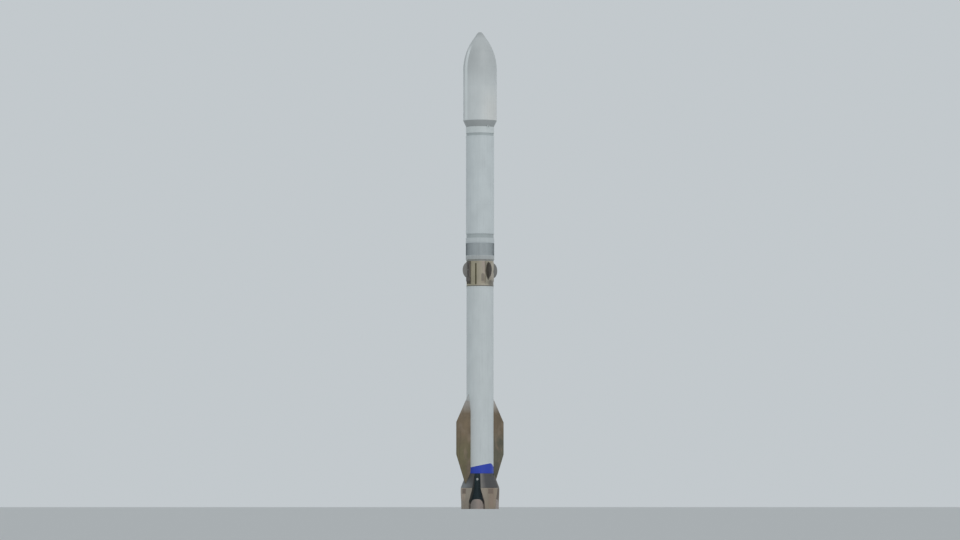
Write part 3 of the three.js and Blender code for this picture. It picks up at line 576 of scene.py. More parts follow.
def oval(across, up, half_wide, half_high, count=8):
    """Points of a small closed section, as of a rolled rim."""
    turns = [2 * pi * i / count for i in range(count)]
    return [(across + half_wide * cos(a), up + half_high * sin(a)) for a in turns]

# %% Boxes, rods and bolts
LARGE = 100.0
BOLT, SMALL_BOLT = 0.0035, 0.003

def bevelled(bm, edges, round_by, segments):
    """Rounds the edges of a part that is modelled LARGE times too large, and shrinks it."""
    if round_by:
        round_edges(bm, edges, round_by * LARGE, segments)
    bmesh.ops.scale(bm, vec=(1 / LARGE,) * 3, verts=bm.verts)
    return bm

def box_part(low, high, round_by=0.0, segments=2):
    bm = bmesh.new()
    bmesh.ops.create_cube(bm, size=1)
    bmesh.ops.scale(bm, vec=[(h - l) * LARGE for l, h in zip(low, high)], verts=bm.verts)
    bmesh.ops.translate(bm, vec=[(h + l) / 2 * LARGE for l, h in zip(low, high)], verts=bm.verts)
    return bevelled(bm, bm.edges[:], round_by, segments)

def rod_part(radius, start, end, segments=24, round_by=0.0):
    """A rod along X, with its rims rounded."""
    bm = bmesh.new()
    lie_down = Matrix.Translation(((start + end) / 2 * LARGE, 0, 0)) @ Matrix.Rotation(pi / 2, 4, "Y")
    bmesh.ops.create_cone(bm, cap_ends=True, segments=segments, radius1=radius * LARGE,
                          radius2=radius * LARGE, depth=(end - start) * LARGE, matrix=lie_down)
    rims = [e for e in bm.edges if e.calc_face_angle(0) > pi / 3 and len(e.verts[0].link_edges) == 3
            and abs(e.verts[0].co.x - e.verts[1].co.x) < 1e-3]
    return bevelled(bm, rims, round_by, 2)

def bolt_part(size):
    """A six-sided head on a washer, its foot just under the surface."""
    bm = rod_part(size, -0.2 * size, 0.3 * size, 12)
    stamp(bm, rod_part(0.75 * size, 0, 0.95 * size, 6, 0.1 * size))
    return bm

def bolts_round(bm, radius, height, count, size=BOLT):
    stamp(bm, bolt_part(size), [out_at(radius, 360 * i / count, height) for i in range(count)])

# %% Pipes
def pipe(bm, points, radius, segments=12):
    """A round pipe through the points, closed at both ends."""
    points = [Vector(p) for p in points]
    rings, before, facing = [], Vector((0, 0, 1)), Matrix.Identity(4)
    for i, point in enumerate(points):
        ahead = points[min(i + 1, len(points) - 1)] - points[max(i - 1, 0)]
        facing = before.rotation_difference(ahead).to_matrix().to_4x4() @ facing
        before = ahead
        circle = bmesh.ops.create_circle(bm, segments=segments, radius=radius,
                                         matrix=Matrix.Translation(point) @ facing)
        rings.append(circle["verts"])
    for low, high in zip(rings, rings[1:]):
        for i in range(segments):
            j = (i + 1) % segments
            bm.faces.new((low[i], low[j], high[j], high[i]))
    bm.faces.new(rings[0])
    bm.faces.new(rings[-1])

# %% [markdown]
# ## Round bodies
#
# Tanks, rings and the fairing are bodies of revolution: half a section, spun about the axis. The section
# carries the detail. A weld is a shallow groove in it, so one list of heights puts a ring of weld all the
# way round. Spinning is exact, and its facets are too fine to see.

# %% Spin a section
AXIS = dict(cent=(0, 0, 0), axis=(0, 0, 1))
FINE_ROUND = 192

def spun(bm, section, steps=FINE_ROUND, ring=False):
    """Spins (radius, height) points right round Z. A ring's section closes on itself."""
    verts = [bm.verts.new((r, 0, z)) for r, z in section]
    pairs = list(zip(verts, verts[1:])) + ([(verts[-1], verts[0])] if ring else [])
    edges = [bm.edges.new(pair) for pair in pairs]
    bmesh.ops.spin(bm, geom=verts + edges, angle=2 * pi, steps=steps, use_merge=True, **AXIS)
    return outwards(bm)

def round_part(section, steps=FINE_ROUND, ring=False):
    return spun(bmesh.new(), section, steps, ring)

def grooved_side(radius, low, high, seams, wide=0.005, deep=0.002):
    """Points up the side of a cylinder, with a groove at each seam's height."""
    points = [(radius, low)]
    for seam in seams:
        points += [(radius, seam - wide), (radius - deep, seam - wide / 2)]
        points += [(radius - deep, seam + wide / 2), (radius, seam + wide)]
    return points + [(radius, high)]

def evenly(low, high, count):
    """Heights that part a body into equal barrels, without its ends."""
    return [low + (high - low) * i / count for i in range(1, count)]

def span(node):
    """Radius, foot and top of a round node of the frame."""
    low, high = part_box(node)
    return high.x, low.z, high.z

# %% [markdown]
# Where a body covers only a part of the turn, as a door, a band or half a shell does, the outline between
# its outer and its inner section is a face. Spinning a face leaves it behind as one end of the wall.

# %% Walls and curved plates
PLATE_IN, PLATE_STEP = 0.004, 0.0006

def wall_part(outer, inner, first, last, steps):
    """A closed wall: the outline between two sections, spun from one bearing to another, in degrees."""
    bm = bmesh.new()
    start = turned(first)
    outline = bm.faces.new([bm.verts.new(start @ Vector((r, 0, z))) for r, z in (*outer, *reversed(inner))])
    bmesh.ops.spin(bm, geom=[outline, *outline.edges, *outline.verts], angle=radians(last - first),
                   steps=steps, **AXIS)
    return outwards(bm)

def plate_part(radius, low, high, half_angle, stands, rim=0.004):
    """A curved plate on a cylinder, with its front set in a frame."""
    bm = wall_part([(radius + stands, low), (radius + stands, high)],
                   [(radius - PLATE_IN, low), (radius - PLATE_IN, high)], -half_angle, half_angle, 12)
    front = [f for f in bm.faces if hypot(*f.calc_center_median().xy) > radius + stands / 2
             and abs(f.normal.z) < 0.5 and f.normal.x > 0.5]
    sink_panel(bm, front, rim, PLATE_STEP, stands / 2, even=True)
    return bm

# %% [markdown]
# The plain round bodies are then a table of nodes, slots and barrels. A tank is welded from barrels, so
# it has a groove between each two.

# %% Tanks, bands and grooves
ROUND_BODIES = [
    # node, slot, barrels
    ("blue_band", "blue", 1),
    ("booster_tank", "booster_white", 11),
    ("upper_aft_ring", "upper_white", 1),
    ("upper_aft_groove", "groove_grey", 1),
    ("upper_tank", "upper_white", 6),
    ("upper_forward_groove", "groove_grey", 1),
]
for node, slot, barrels in ROUND_BODIES:
    radius, low, high = span(node)
    section = [(0, low), *grooved_side(radius, low, high, evenly(low, high, barrels)), (0, high)]
    make_piece(round_part(section), f"{node}_skin", slot, stands_for=[node])

# %% [markdown]
# ## Flanges
#
# Where two sections of a rocket are joined, or a dome is welded in, a thin land stands proud of the skin.
# The lands at a joint have a row of bolt heads. A land's section is a low trapezium, spun like the rest.

# %% Lands and their bolts
BOOSTER_R = span("booster_tank")[0]
UPPER_R = span("upper_tank")[0]
LAND, LAND_IN, LAND_SLOPE = 0.0025, 0.004, 0.002

def land_section(radius, low, high):
    return [(radius - LAND_IN, low), (radius + LAND, low + LAND_SLOPE),
            (radius + LAND, high - LAND_SLOPE), (radius - LAND_IN, high)]

LANDS = [
    # name, slot, radius, low, high, bolts
    ("band_foot_land", "blue", BOOSTER_R, 0.928, 0.952, 72),
    ("tank_foot_land", "booster_white", BOOSTER_R, 1.50, 1.53, 0),
    ("tank_top_land", "booster_white", BOOSTER_R, 5.752, 5.792, 72),
    ("common_dome_land", "booster_white", BOOSTER_R, 2.30, 2.33, 0),
    ("upper_foot_land", "upper_white", UPPER_R, 7.180, 7.210, 60),
    ("upper_dome_land", "upper_white", UPPER_R, 7.93, 7.96, 0),
    ("upper_top_land", "upper_white", UPPER_R, 9.700, 9.730, 60),
]
for name, slot, radius, low, high, bolts in LANDS:
    land = round_part(land_section(radius, low, high), ring=True)
    if bolts:
        bolts_round(land, radius + LAND, (low + high) / 2, bolts)
    make_piece(land, name, slot)

# %% [markdown]
# ## Aft skirt
#
# The skirt is a cup over the engines, with the thrust plate as its solid top. Four recesses between the
# leg fairings show its skin, which is stiffened by upright ribs and hoops. High in each recess sits a
# round port with a bright ring.

# %% Skirt
SKIRT = [(0.422, 0.012), (0.372, 0.260), (0.362, 0.548), (0.350, 0.9257)]
SKIRT_WALL = 0.009
THRUST_Z = 0.430
BAY_TOP_R = 0.352
RECESSES = (45, 135, 225, 315)

def between(levels, z):
    """Values at a height, between the rows of a table whose last column is the height."""
    for low, high in zip(levels, levels[1:]):
        if z <= high[-1]:
            break
    share = (z - low[-1]) / (high[-1] - low[-1])
    return [a + (b - a) * share for a, b in zip(low[:-1], high[:-1])]

def skirt_radius(z):
    return between(SKIRT, z)[0]

top_r, top_z = SKIRT[-1]
inside = [(0, THRUST_Z), (BAY_TOP_R, THRUST_Z), (SKIRT[1][0] - SKIRT_WALL, SKIRT[1][1]),
          (SKIRT[0][0] - SKIRT_WALL, SKIRT[0][1])]
skirt = round_part([(0, top_z), *inside, *SKIRT, (0, top_z)])
make_piece(skirt, "aft_skirt_shell", "recess_dark", stands_for=["aft_skirt"], corner=radians(6))

# %% Ribs and hoops
RIB_OFFSETS = (-9, -4.5, 4.5, 9)
RIB_IN, RIB_OUT, RIB_HALF = 0.004, 0.006, 0.0025
HOOPS = (0.36, 0.46, 0.548, 0.64, 0.86)
ribs = bmesh.new()
for recess in RECESSES:
    for offset in RIB_OFFSETS:
        for (r0, z0), (r1, z1) in zip(SKIRT[1:], SKIRT[2:]):
            rib = box_part((-RIB_IN, -RIB_HALF, 0), (RIB_OUT, RIB_HALF, hypot(r1 - r0, z1 - z0)),
                           0.0008, 1)
            lean = Matrix.Rotation(atan2(r1 - r0, z1 - z0), 4, "Y")
            stamp(ribs, rib, [out_at(r0, recess + offset, z0) @ lean])
for z in HOOPS:
    r = skirt_radius(z)
    spun(ribs, [(r - 0.004, z - 0.006), (r + 0.004, z - 0.004), (r + 0.004, z + 0.004),
                (r - 0.004, z + 0.006)], ring=True)
make_piece(outwards(ribs), "aft_skirt_ribs", "recess_dark")

# %% Ports
PORT_R, PORT_Z = 0.030, 0.775
PORT_RIM = 0.005
PORT_ROOT, PORT_FACE = 0.340, 0.361

ring_section = [(PORT_R - PORT_RIM, PORT_ROOT), (PORT_R, PORT_ROOT), (PORT_R, PORT_FACE - 0.001),
                (PORT_R - 0.001, PORT_FACE), (PORT_R - 0.003, PORT_FACE),
                (PORT_R - PORT_RIM, PORT_FACE - 0.002)]
cover_section = [(0, PORT_ROOT), (PORT_R - 0.004, PORT_ROOT), (PORT_R - 0.004, PORT_FACE - 0.003),
                 (0, PORT_FACE - 0.0015)]
port_places = [out_at(0, recess, PORT_Z) @ Matrix.Rotation(pi / 2, 4, "Y") for recess in RECESSES]
make_piece(stamped(round_part(ring_section, 48, ring=True), port_places), "port_rings", "bright_metal")
make_piece(stamped(round_part(cover_section, 48), port_places), "port_covers", "fairing_white")

# %% [markdown]
# ## Leg fairings
#
# Each landing leg folds up under a fairing like a petal. It is wide and upright at the foot, then slopes
# in to the tank, and its sides draw together downwards, which opens the recess beside it. A flat grid is
# wrapped round the skirt: its columns become bearings and its rows heights. Faces chosen by column and
# row are inset and sunk, which leaves a frame round each panel, and the whole skin is then pulled in to
# the skirt to give it thickness.

# %% A petal between two heights
PETAL = [
    # radius, half angle, height
    (0.505, 19.5, 0.000),
    (0.505, 20.5, 0.200),
    (0.505, 30.5, 0.480),
    (0.505, 31.8, 0.548),
    (0.358, 33.0, 0.926),
]
PANEL_LINE, LINE_HALF = 0.548, 0.0015
PANEL_SINK, PETAL_ROUND, PETAL_IN = 0.0025, 0.004, 0.004
QUARTERS = (0, 90, 180, 270)
COLUMNS = 36

def petal_part(low, high, rows, panels):
    """A petal between two heights. Panels are (first column, last column, first row, last row)."""
    bm = bmesh.new()
    bmesh.ops.create_grid(bm, x_segments=COLUMNS, y_segments=rows, size=1)
    cells = {}
    for face in bm.faces:
        middle = face.calc_center_median()
        column = int((middle.x + 1) / 2 * COLUMNS)
        row = int((middle.y + 1) / 2 * rows)
        cells[column, row] = face
    for vert in bm.verts:
        z = low + (high - low) * (vert.co.y + 1) / 2
        radius, half = between(PETAL, z)
        bearing = radians(half) * vert.co.x
        vert.co = (radius * cos(bearing), radius * sin(bearing), z)
    bm.normal_update()
    for vert in extruded(bm, bm.faces):
        depth = (skirt_radius(max(vert.co.z, SKIRT[0][1])) - PETAL_IN) / hypot(vert.co.x, vert.co.y)
        vert.co.x *= depth
        vert.co.y *= depth
    bmesh.ops.recalc_face_normals(bm, faces=bm.faces)
    rim = [e for e in bm.edges if e.calc_face_angle(0) > radians(50)
           and min(hypot(*v.co.xy) / between(PETAL, v.co.z)[0] for v in e.verts) > 0.99]
    for c0, c1, r0, r1 in panels:
        chosen = [cells[c, r] for c in range(c0, c1) for r in range(r0, r1)]
        bmesh.ops.inset_region(bm, faces=chosen, thickness=PANEL_SINK, depth=-PANEL_SINK,
                               use_even_offset=True)
    round_edges(bm, [e for e in rim if e.is_valid], PETAL_ROUND)
    return bm

# %% Lower and upper petals
LOWER_PANELS = [(2, 11, 2, 11), (25, 34, 2, 11), (2, 11, 12, 20), (25, 34, 12, 20), (12, 24, 13, 16)]
UPPER_PANELS = [(2, 17, 1, 7), (19, 34, 1, 7), (2, 17, 8, 13), (19, 34, 8, 13)]
for level, low, high, rows, panels, slot in (
    ("lower", 0.0, PANEL_LINE - LINE_HALF, 22, LOWER_PANELS, "aft_tan"),
    ("upper", PANEL_LINE + LINE_HALF, SKIRT[-1][1], 15, UPPER_PANELS, "aft_brown"),
):
    petals = copies(petal_part(low, high, rows, panels), map(turned, QUARTERS))
    for i, petal in enumerate(petals):
        make_piece(petal, f"leg_fairing_{level}_skin_{i + 1}", slot,
                   stands_for=[f"leg_fairing_{level}_{i + 1}"])

# %% [markdown]
# Each leg has two hatches, one over its hinge and one over its foot. They are thin curved plates that
# stand a little proud of the petal.

# %% Leg hatches
LEG_R = PETAL[0][0]
HATCH_STANDS = 0.0016
for name, low, high, half_angle, finish in (
    ("leg_hinge_hatches", 0.400, 0.528, 9.0, "hatch_brown"),
    ("leg_foot_hatches", 0.085, 0.290, 6.5, "aft_tan"),
):
    leg_hatch = plate_part(LEG_R, low, high, half_angle, HATCH_STANDS)
    make_piece(stamped(leg_hatch, map(turned, QUARTERS)), name, "aft_tan", finish=finish)

# %% [markdown]
# ## Arch shrouds
#
# A broad hood closes the foot of each recess over an engine. It is a stack of arches: the first one
# follows the skirt, the second stands straight out, and the rest shrink along a quarter circle, which
# rounds the front. Each arch is squarer than half an ellipse, by a power of its sines and cosines. The
# flat back would cut across the engine bay, so planes cut it into strips, which bend round the skirt.

# %% The shape of a hood
ARCH_HALF, ARCH_HIGH, ARCH_POWER = 0.168, 0.255, 3
ARCH_TO, ARCH_ROUND = 0.462, 0.030
HOOD_FROM = ARCH_TO - ARCH_ROUND
HALF_WALL = 0.005
ARCH_STEPS, ROUND_STEPS, BACK_STRIPS = 32, 8, 16

def squarer(value):
    return copysign(abs(value) ** (2 / ARCH_POWER), value)

def in_skirt(y, z):
    """How far out the skirt's wall is, inside a hood and half way through the wall."""
    return sqrt((skirt_radius(max(z, SKIRT[0][1])) - HALF_WALL) ** 2 - y ** 2)

def bend_back(bm, back, sole):
    """Cuts the back and the sole into strips, and bends the back round the skirt."""
    geom = {back, sole, *back.edges, *sole.edges, *back.verts, *sole.verts}
    for i in range(1, BACK_STRIPS):
        cut = ARCH_HALF * (2 * i / BACK_STRIPS - 1)
        geom = set(bmesh.ops.bisect_plane(bm, geom=list(geom), plane_co=(0, cut, 0), plane_no=(0, 1, 0),
                                          dist=1e-6)["geom"])
    for vert in [v for v in geom if isinstance(v, bmesh.types.BMVert) and v.co.x < HOOD_FROM - 0.001]:
        vert.co.x = in_skirt(vert.co.y, vert.co.z)

def arch_part():
    bm = bmesh.new()
    stack = [(None, 0.0)]
    for out, inwards in arc(HOOD_FROM, 0, ARCH_ROUND, 0, pi / 2, ROUND_STEPS):
        stack.append((HOOD_FROM + inwards, ARCH_ROUND - out + HOOD_FROM))
    loops = []
    for out, shrink in stack:
        loop = []
        for a in [pi * i / ARCH_STEPS for i in range(ARCH_STEPS + 1)]:
            y, z = (ARCH_HALF - shrink) * squarer(cos(a)), (ARCH_HIGH - shrink) * squarer(sin(a))
            loop.append(bm.verts.new((out or in_skirt(y, z), y, z)))
        loops.append(loop)
    soles = []
    for back, front in zip(loops, loops[1:]):
        for i in range(ARCH_STEPS):
            bm.faces.new((back[i], back[i + 1], front[i + 1], front[i]))
        soles.append(bm.faces.new((back[0], front[0], front[-1], back[-1])))
    bend_back(bm, bm.faces.new(loops[0]), soles[0])
    face = bm.faces.new(loops[-1])
    bmesh.ops.recalc_face_normals(bm, faces=bm.faces)
    sink_panel(bm, [face], 0.008, 0.002, 0.003)
    return bm

# %% Hoods and gussets
GUSSET_R, GUSSET_THICK, GUSSET_HIGH, GUSSET_HALF = 0.440, 0.008, 0.130, 25.2

def gusset_part():
    """A thin curved plate behind the hood's front, from petal to petal."""
    outer = [(GUSSET_R, 0.002), (GUSSET_R, GUSSET_HIGH - 0.004), (GUSSET_R - 0.004, GUSSET_HIGH)]
    inner = [(GUSSET_R - GUSSET_THICK, z) for _, z in outer]
    return wall_part(outer, inner, -GUSSET_HALF, GUSSET_HALF, 16)

gussets = stamped(gusset_part(), map(turned, RECESSES))
make_piece(gussets, "arch_gussets", "aft_tan", finish="arch_tan")
for i, arch in enumerate(copies(arch_part(), map(turned, RECESSES))):
    make_piece(arch, f"arch_hood_{i + 1}", "aft_tan", stands_for=[f"arch_shroud_{i + 1}"],
               finish="arch_tan")

# %% [markdown]
# ## Engines
#
# A bell is made of hundreds of cooling tubes side by side, so its outside is fluted. The flutes come from
# a spin with many steps, of which every second one is drawn in a little. Hoops hold the tubes, and a
# fat ring feeds them at the mouth. Over the throat sit the chamber, two pumps and their pipes.

# %% Bell
BELL_MOUTH_R, BELL_MOUTH_Z = 0.090, 0.025
BELL_THROAT_R, BELL_THROAT_Z = 0.016, 0.235
BELL_WALL, FLUTE = 0.0045, 0.993
SWELL, TOWARDS_THROAT = 0.65, 1.3
BELL_STEPS, FLUTES = 20, 72
HOOP_SHARES, HOOP_STANDS = (0.30, 0.48, 0.68, 0.86), 0.0018
ROLL_R = 0.003

def bell_radius(share):
    return BELL_THROAT_R + (BELL_MOUTH_R - BELL_THROAT_R) * share ** SWELL

def bell_height(share):
    return BELL_THROAT_Z - (BELL_THROAT_Z - BELL_MOUTH_Z) * share

def bell_part():
    shares = [(i / BELL_STEPS) ** TOWARDS_THROAT for i in range(BELL_STEPS + 1)]
    outer = [(bell_radius(s), bell_height(s)) for s in shares]
    inner = [(r - BELL_WALL, z) for r, z in reversed(outer)]
    bm = round_part(outer + inner, 2 * FLUTES, ring=True)
    for vert in bm.verts:
        if round(atan2(vert.co.y, vert.co.x) / pi * FLUTES) % 2:
            vert.co.x *= FLUTE
            vert.co.y *= FLUTE
    for share in HOOP_SHARES:
        r, z = bell_radius(share), bell_height(share)
        hoop = [(r - 0.002, z - 0.003), (r + HOOP_STANDS, z - 0.002), (r + HOOP_STANDS, z + 0.002),
                (r - 0.002, z + 0.003)]
        spun(bm, hoop, 2 * FLUTES, ring=True)
    mouth = oval(BELL_MOUTH_R - ROLL_R, BELL_MOUTH_Z + 0.004, ROLL_R, 0.0035)
    return spun(bm, mouth, 2 * FLUTES, ring=True)

# %% Powerhead
BALL_R, GIMBAL_Z = 0.0147, 0.415
CHAMBER = [(0, 0.232), (0.0165, 0.233), (0.019, 0.246), (0.030, 0.270), (0.031, 0.325), (0.036, 0.327),
           (0.036, 0.335), (0.026, 0.345), (0.012, 0.353), (0.011, 0.402), (0, 0.404)]
PUMP_Y = 0.037
PUMP = [(0, 0.266), (0.012, 0.266), (0.018, 0.272), (0.018, 0.292), (0.0215, 0.294), (0.0215, 0.302),
        (0.016, 0.306), (0.016, 0.334), (0.020, 0.336), (0.020, 0.352), (0.010, 0.360), (0, 0.360)]
FEED_PIPES = [
    # radius, points on the side of plus Y
    (0.006, [(0, 0.037, 0.358), (0, 0.036, 0.366), (0, 0.028, 0.370), (0, 0.018, 0.366),
             (0, 0.012, 0.352), (0, 0.010, 0.340)]),
    (0.0045, [(0.016, 0.034, 0.285), (0.028, 0.026, 0.276), (0.033, 0.012, 0.264),
              (0.026, 0.004, 0.250), (0.014, 0, 0.244)]),
]
CONTROLLER = (-0.045, -0.016, 0.290), (-0.028, 0.016, 0.338)

def powerhead_part():
    bm = round_part(CHAMBER, 48)
    ball = arc(0, GIMBAL_Z, BALL_R, -pi / 2, pi / 2, 12)
    spun(bm, [(0, ball[0][1]), *ball[1:-1], (0, ball[-1][1])], 32)
    for side in (-1, 1):
        stamp(bm, round_part(PUMP, 32), [Matrix.Translation((0, PUMP_Y * side, 0))])
        for radius, points in FEED_PIPES:
            pipe(bm, [(x, y * side, z) for x, y, z in points], radius)
    spun(bm, oval(0.026, 0.258, 0.005, 0.005), 48, ring=True)
    stamp(bm, box_part(*CONTROLLER, 0.002))
    return outwards(bm)

# %% Nine engines
ENGINE_RING_R = 0.278
ENGINES = [(0.0, 0.0, 0.0)]
for bearing in range(0, 360, 45):
    x, y = ENGINE_RING_R * cos(radians(bearing)), ENGINE_RING_R * sin(radians(bearing))
    ENGINES.append((x, y, bearing))
engine_places = [Matrix.Translation((x, y, 0)) @ turned(bearing) for x, y, bearing in ENGINES]
bells, heads = copies(bell_part(), engine_places), copies(powerhead_part(), engine_places)
for i, (bell, head) in enumerate(zip(bells, heads)):
    engine = f"engine_{i + 1}"
    make_piece(bell, f"engine_bell_{i + 1}", "engine_metal", engine, [engine])
    make_piece(head, f"engine_powerhead_{i + 1}", "bright_metal", engine)

# %% [markdown]
# ## Heat shield
#
# A plate closes the bay round the bells. Its outline and its nine holes are loops of edges, and a fill
# between loops makes the face. Each hole has a rolled collar.

# %% Plate with its collars
SHIELD_LOW, SHIELD_HIGH = 0.150, 0.158
SHIELD_R, HOLE_R = 0.3829, 0.0885
ROLL_HALF_WIDE, ROLL_HALF_HIGH = 0.0035, 0.0075
HOLE_STEPS = 48

shield = bmesh.new()
outline = [(0, 0, SHIELD_R, FINE_ROUND), *[(x, y, HOLE_R, HOLE_STEPS) for x, y, _ in ENGINES]]
for x, y, radius, steps in outline:
    bmesh.ops.create_circle(shield, segments=steps, radius=radius,
                            matrix=Matrix.Translation((x, y, SHIELD_LOW)))
bmesh.ops.triangle_fill(shield, use_beauty=True, use_dissolve=False, edges=shield.edges)
bmesh.ops.translate(shield, vec=(0, 0, SHIELD_HIGH - SHIELD_LOW), verts=extruded(shield, shield.faces))
make_piece(outwards(shield), "heat_shield_plate", "shield_grey", stands_for=["heat_shield"])

roll = oval(HOLE_R + ROLL_HALF_WIDE, (SHIELD_LOW + SHIELD_HIGH) / 2, ROLL_HALF_WIDE, ROLL_HALF_HIGH, 10)
collars = stamped(round_part(roll, HOLE_STEPS, ring=True),
                  [Matrix.Translation((x, y, 0)) for x, y, _ in ENGINES])
make_piece(collars, "heat_shield_collars", "bright_metal")

# %% [markdown]
# ## Strakes
#
# A strake is a long wedge: thick at the root and thin at its outer edge. Its corners are the points of a
# convex hull. Cutting the hull with planes gives the joints between plates, every plate is inset and
# raised a hair, and a rounded strip covers the leading and outer edges.

# %% Plated wedge
STRAKE = [
    # radius, height, half thickness
    (0.340, 3.020, 0.012),
    (0.340, 2.550, 0.074),
    (0.740, 2.260, 0.008),
    (0.740, 1.420, 0.008),
    (0.455, 0.640, 0.012),
    (0.340, 0.640, 0.040),
    (0.340, 1.000, 0.074),
]
STRAKE_JOINTS = (0.86, 1.14, 1.42, 1.70, 1.98, 2.26, 2.55, 2.80)
STRAKE_MIDDLE, PLATE_RAISED = 0.55, 0.0012

def strake_part():
    bm = bmesh.new()
    for radius, height, half in STRAKE:
        for side in (-1, 1):
            bm.verts.new((radius, half * side, height))
    bmesh.ops.convex_hull(bm, input=bm.verts)
    bmesh.ops.dissolve_limit(bm, angle_limit=radians(0.5), verts=bm.verts, edges=bm.edges)
    cuts = [((0, 0, z), (0, 0, 1)) for z in STRAKE_JOINTS] + [((STRAKE_MIDDLE, 0, 0), (1, 0, 0))]
    for point, normal in cuts:
        everything = bm.verts[:] + bm.edges[:] + bm.faces[:]
        bmesh.ops.bisect_plane(bm, geom=everything, plane_co=point, plane_no=normal, dist=1e-5)
    plates = [f for f in bm.faces if abs(f.normal.y) > 0.5]
    for thickness, depth in ((0.003, 0.0), (0.001, PLATE_RAISED)):
        bmesh.ops.inset_individual(bm, faces=plates, thickness=thickness, depth=depth, use_even_offset=True)
    return bm

# %% Edge strips, and both strakes
EDGE_R = 0.0095
EDGE_PATH = [(0.340, 0, 2.995), (0.7305, 0, 2.254), (0.7305, 0, 1.424), (0.449, 0, 0.650)]

def strake_edge_part():
    bm = bmesh.new()
    pipe(bm, EDGE_PATH, EDGE_R, 16)
    return outwards(bm)

SIDES = (0, 180)
strakes = copies(strake_part(), map(turned, SIDES))
strake_edges = copies(strake_edge_part(), map(turned, SIDES))
for i, (strake, edge) in enumerate(zip(strakes, strake_edges)):
    make_piece(strake, f"strake_plates_{i + 1}", "strake_brown", stands_for=[f"strake_{i + 1}"])
    make_piece(edge, f"strake_edge_{i + 1}", "fin_brown")

# %% [markdown]
# ## Raceways
#
# Cables run up the far side under a long cover. It is made of short lengths with a clamp over each joint,
# and each length has rounded edges.

# %% Cover lengths and clamps
RACEWAY_BEARING, LENGTH = 56, 0.58
RACEWAY_HALF, RACEWAY_STANDS = 0.022, 0.020
CLAMP_WIDER, CLAMP_HALF = 0.006, 0.009
RACEWAY_IN, BOLT_ASIDE = 0.010, 0.012

def raceway_piece(node, name, radius, slot):
    low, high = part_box(node)
    count = round((high.z - low.z) / LENGTH)
    each = (high.z - low.z) / count
    top = RACEWAY_STANDS - 0.003
    length = box_part((-RACEWAY_IN, -RACEWAY_HALF, 0.001), (top, RACEWAY_HALF, each - 0.001), 0.004, 3)
    cover = stamped(length, [out_at(radius, RACEWAY_BEARING, low.z + each * i) for i in range(count)])
    clamp_heights = [min(max(low.z + each * i, low.z + CLAMP_HALF), high.z - CLAMP_HALF)
                     for i in range(count + 1)]
    clamp = box_part((-RACEWAY_IN, -RACEWAY_HALF - CLAMP_WIDER, -CLAMP_HALF),
                     (RACEWAY_STANDS - 0.0005, RACEWAY_HALF + CLAMP_WIDER, CLAMP_HALF), 0.003)
    stamp(cover, clamp, [out_at(radius, RACEWAY_BEARING, z) for z in clamp_heights])
    bolts = [out_at(radius + top, RACEWAY_BEARING, z) @ Matrix.Translation((0, y, 0))
             for z in clamp_heights for y in (-BOLT_ASIDE, BOLT_ASIDE)]
    stamp(cover, bolt_part(SMALL_BOLT), bolts)
    make_piece(cover, name, slot, stands_for=[node])

raceway_piece("booster_raceway", "booster_raceway_cover", BOOSTER_R, "booster_white")
raceway_piece("upper_raceway", "upper_raceway_cover", UPPER_R, "upper_white")

# %% [markdown]
# ## Forward module
#
# The bronze module carries the fins. Its side is plated: grooves run round it between the rows of plates,
# and flat strips cover the upright joints. Frames close it above and below. A slim pipe and a small hatch
# with a round top are on the side that the photograph shows.

# %% Module, frames and strips
MODULE_R, MODULE_LOW, MODULE_HIGH = span("forward_module")
MODULE_SEAMS = (5.93, 6.42)
UPPER_FRAME, LOWER_FRAME = (6.462, 6.494), (5.802, 5.826)
STRIP_BEARINGS = [22.5 + 45 * i for i in range(8)]
STRIP_HALF, STRIP_STANDS, STRIP_LOW, STRIP_HIGH = 0.007, 0.0018, 5.835, 6.455

plated_side = grooved_side(MODULE_R, MODULE_LOW, MODULE_HIGH, MODULE_SEAMS)
module = round_part([(0, MODULE_LOW), *plated_side, (0, MODULE_HIGH)])
make_piece(module, "forward_module_skin", "bronze", stands_for=["forward_module"])

frames = round_part(land_section(MODULE_R, *UPPER_FRAME), ring=True)
bolts_round(frames, MODULE_R + LAND, sum(UPPER_FRAME) / 2, 72)
spun(frames, land_section(MODULE_R, *LOWER_FRAME), ring=True)
make_piece(frames, "forward_module_frames", "bronze", finish="frame_grey")

strip = box_part((-PLATE_IN, -STRIP_HALF, STRIP_LOW), (STRIP_STANDS, STRIP_HALF, STRIP_HIGH), 0.0008, 1)
strips = stamped(strip, [out_at(MODULE_R, b, 0) for b in STRIP_BEARINGS])
make_piece(strips, "forward_module_strips", "bronze")

# %% Pipe on its rail
PIPE_BEARING, PIPE_R = 218, 0.009
PIPE_IN, PIPE_OUT = MODULE_R - 0.006, MODULE_R + 0.006
PIPE_LOW, PIPE_HIGH, BEND = 5.860, 6.390, 0.020
PIPE_PATH = [(PIPE_IN, 0, PIPE_LOW), (PIPE_OUT, 0, PIPE_LOW + BEND),
             (PIPE_OUT, 0, PIPE_HIGH - BEND), (PIPE_IN, 0, PIPE_HIGH)]
RAIL_HALF, RAIL_PAST = 0.018, 0.010

riser = bmesh.new()
pipe(riser, PIPE_PATH, PIPE_R)
rail = box_part((MODULE_R - PLATE_IN, -RAIL_HALF, PIPE_LOW - RAIL_PAST),
                (MODULE_R + 0.002, RAIL_HALF, PIPE_HIGH + RAIL_PAST), 0.001, 1)
stamp(riser, rail)
module_pipe = stamped(outwards(riser), [turned(PIPE_BEARING)])
make_piece(module_pipe, "forward_module_pipe", "bronze", finish="pipe_olive")

# %% Hatch
HATCH_BEARING, HATCH_Z = 248, 5.940
HATCH_HALF, HATCH_SIDE = 0.036, 0.160
HATCH_IN, HATCH_THICK = 0.006, 0.009

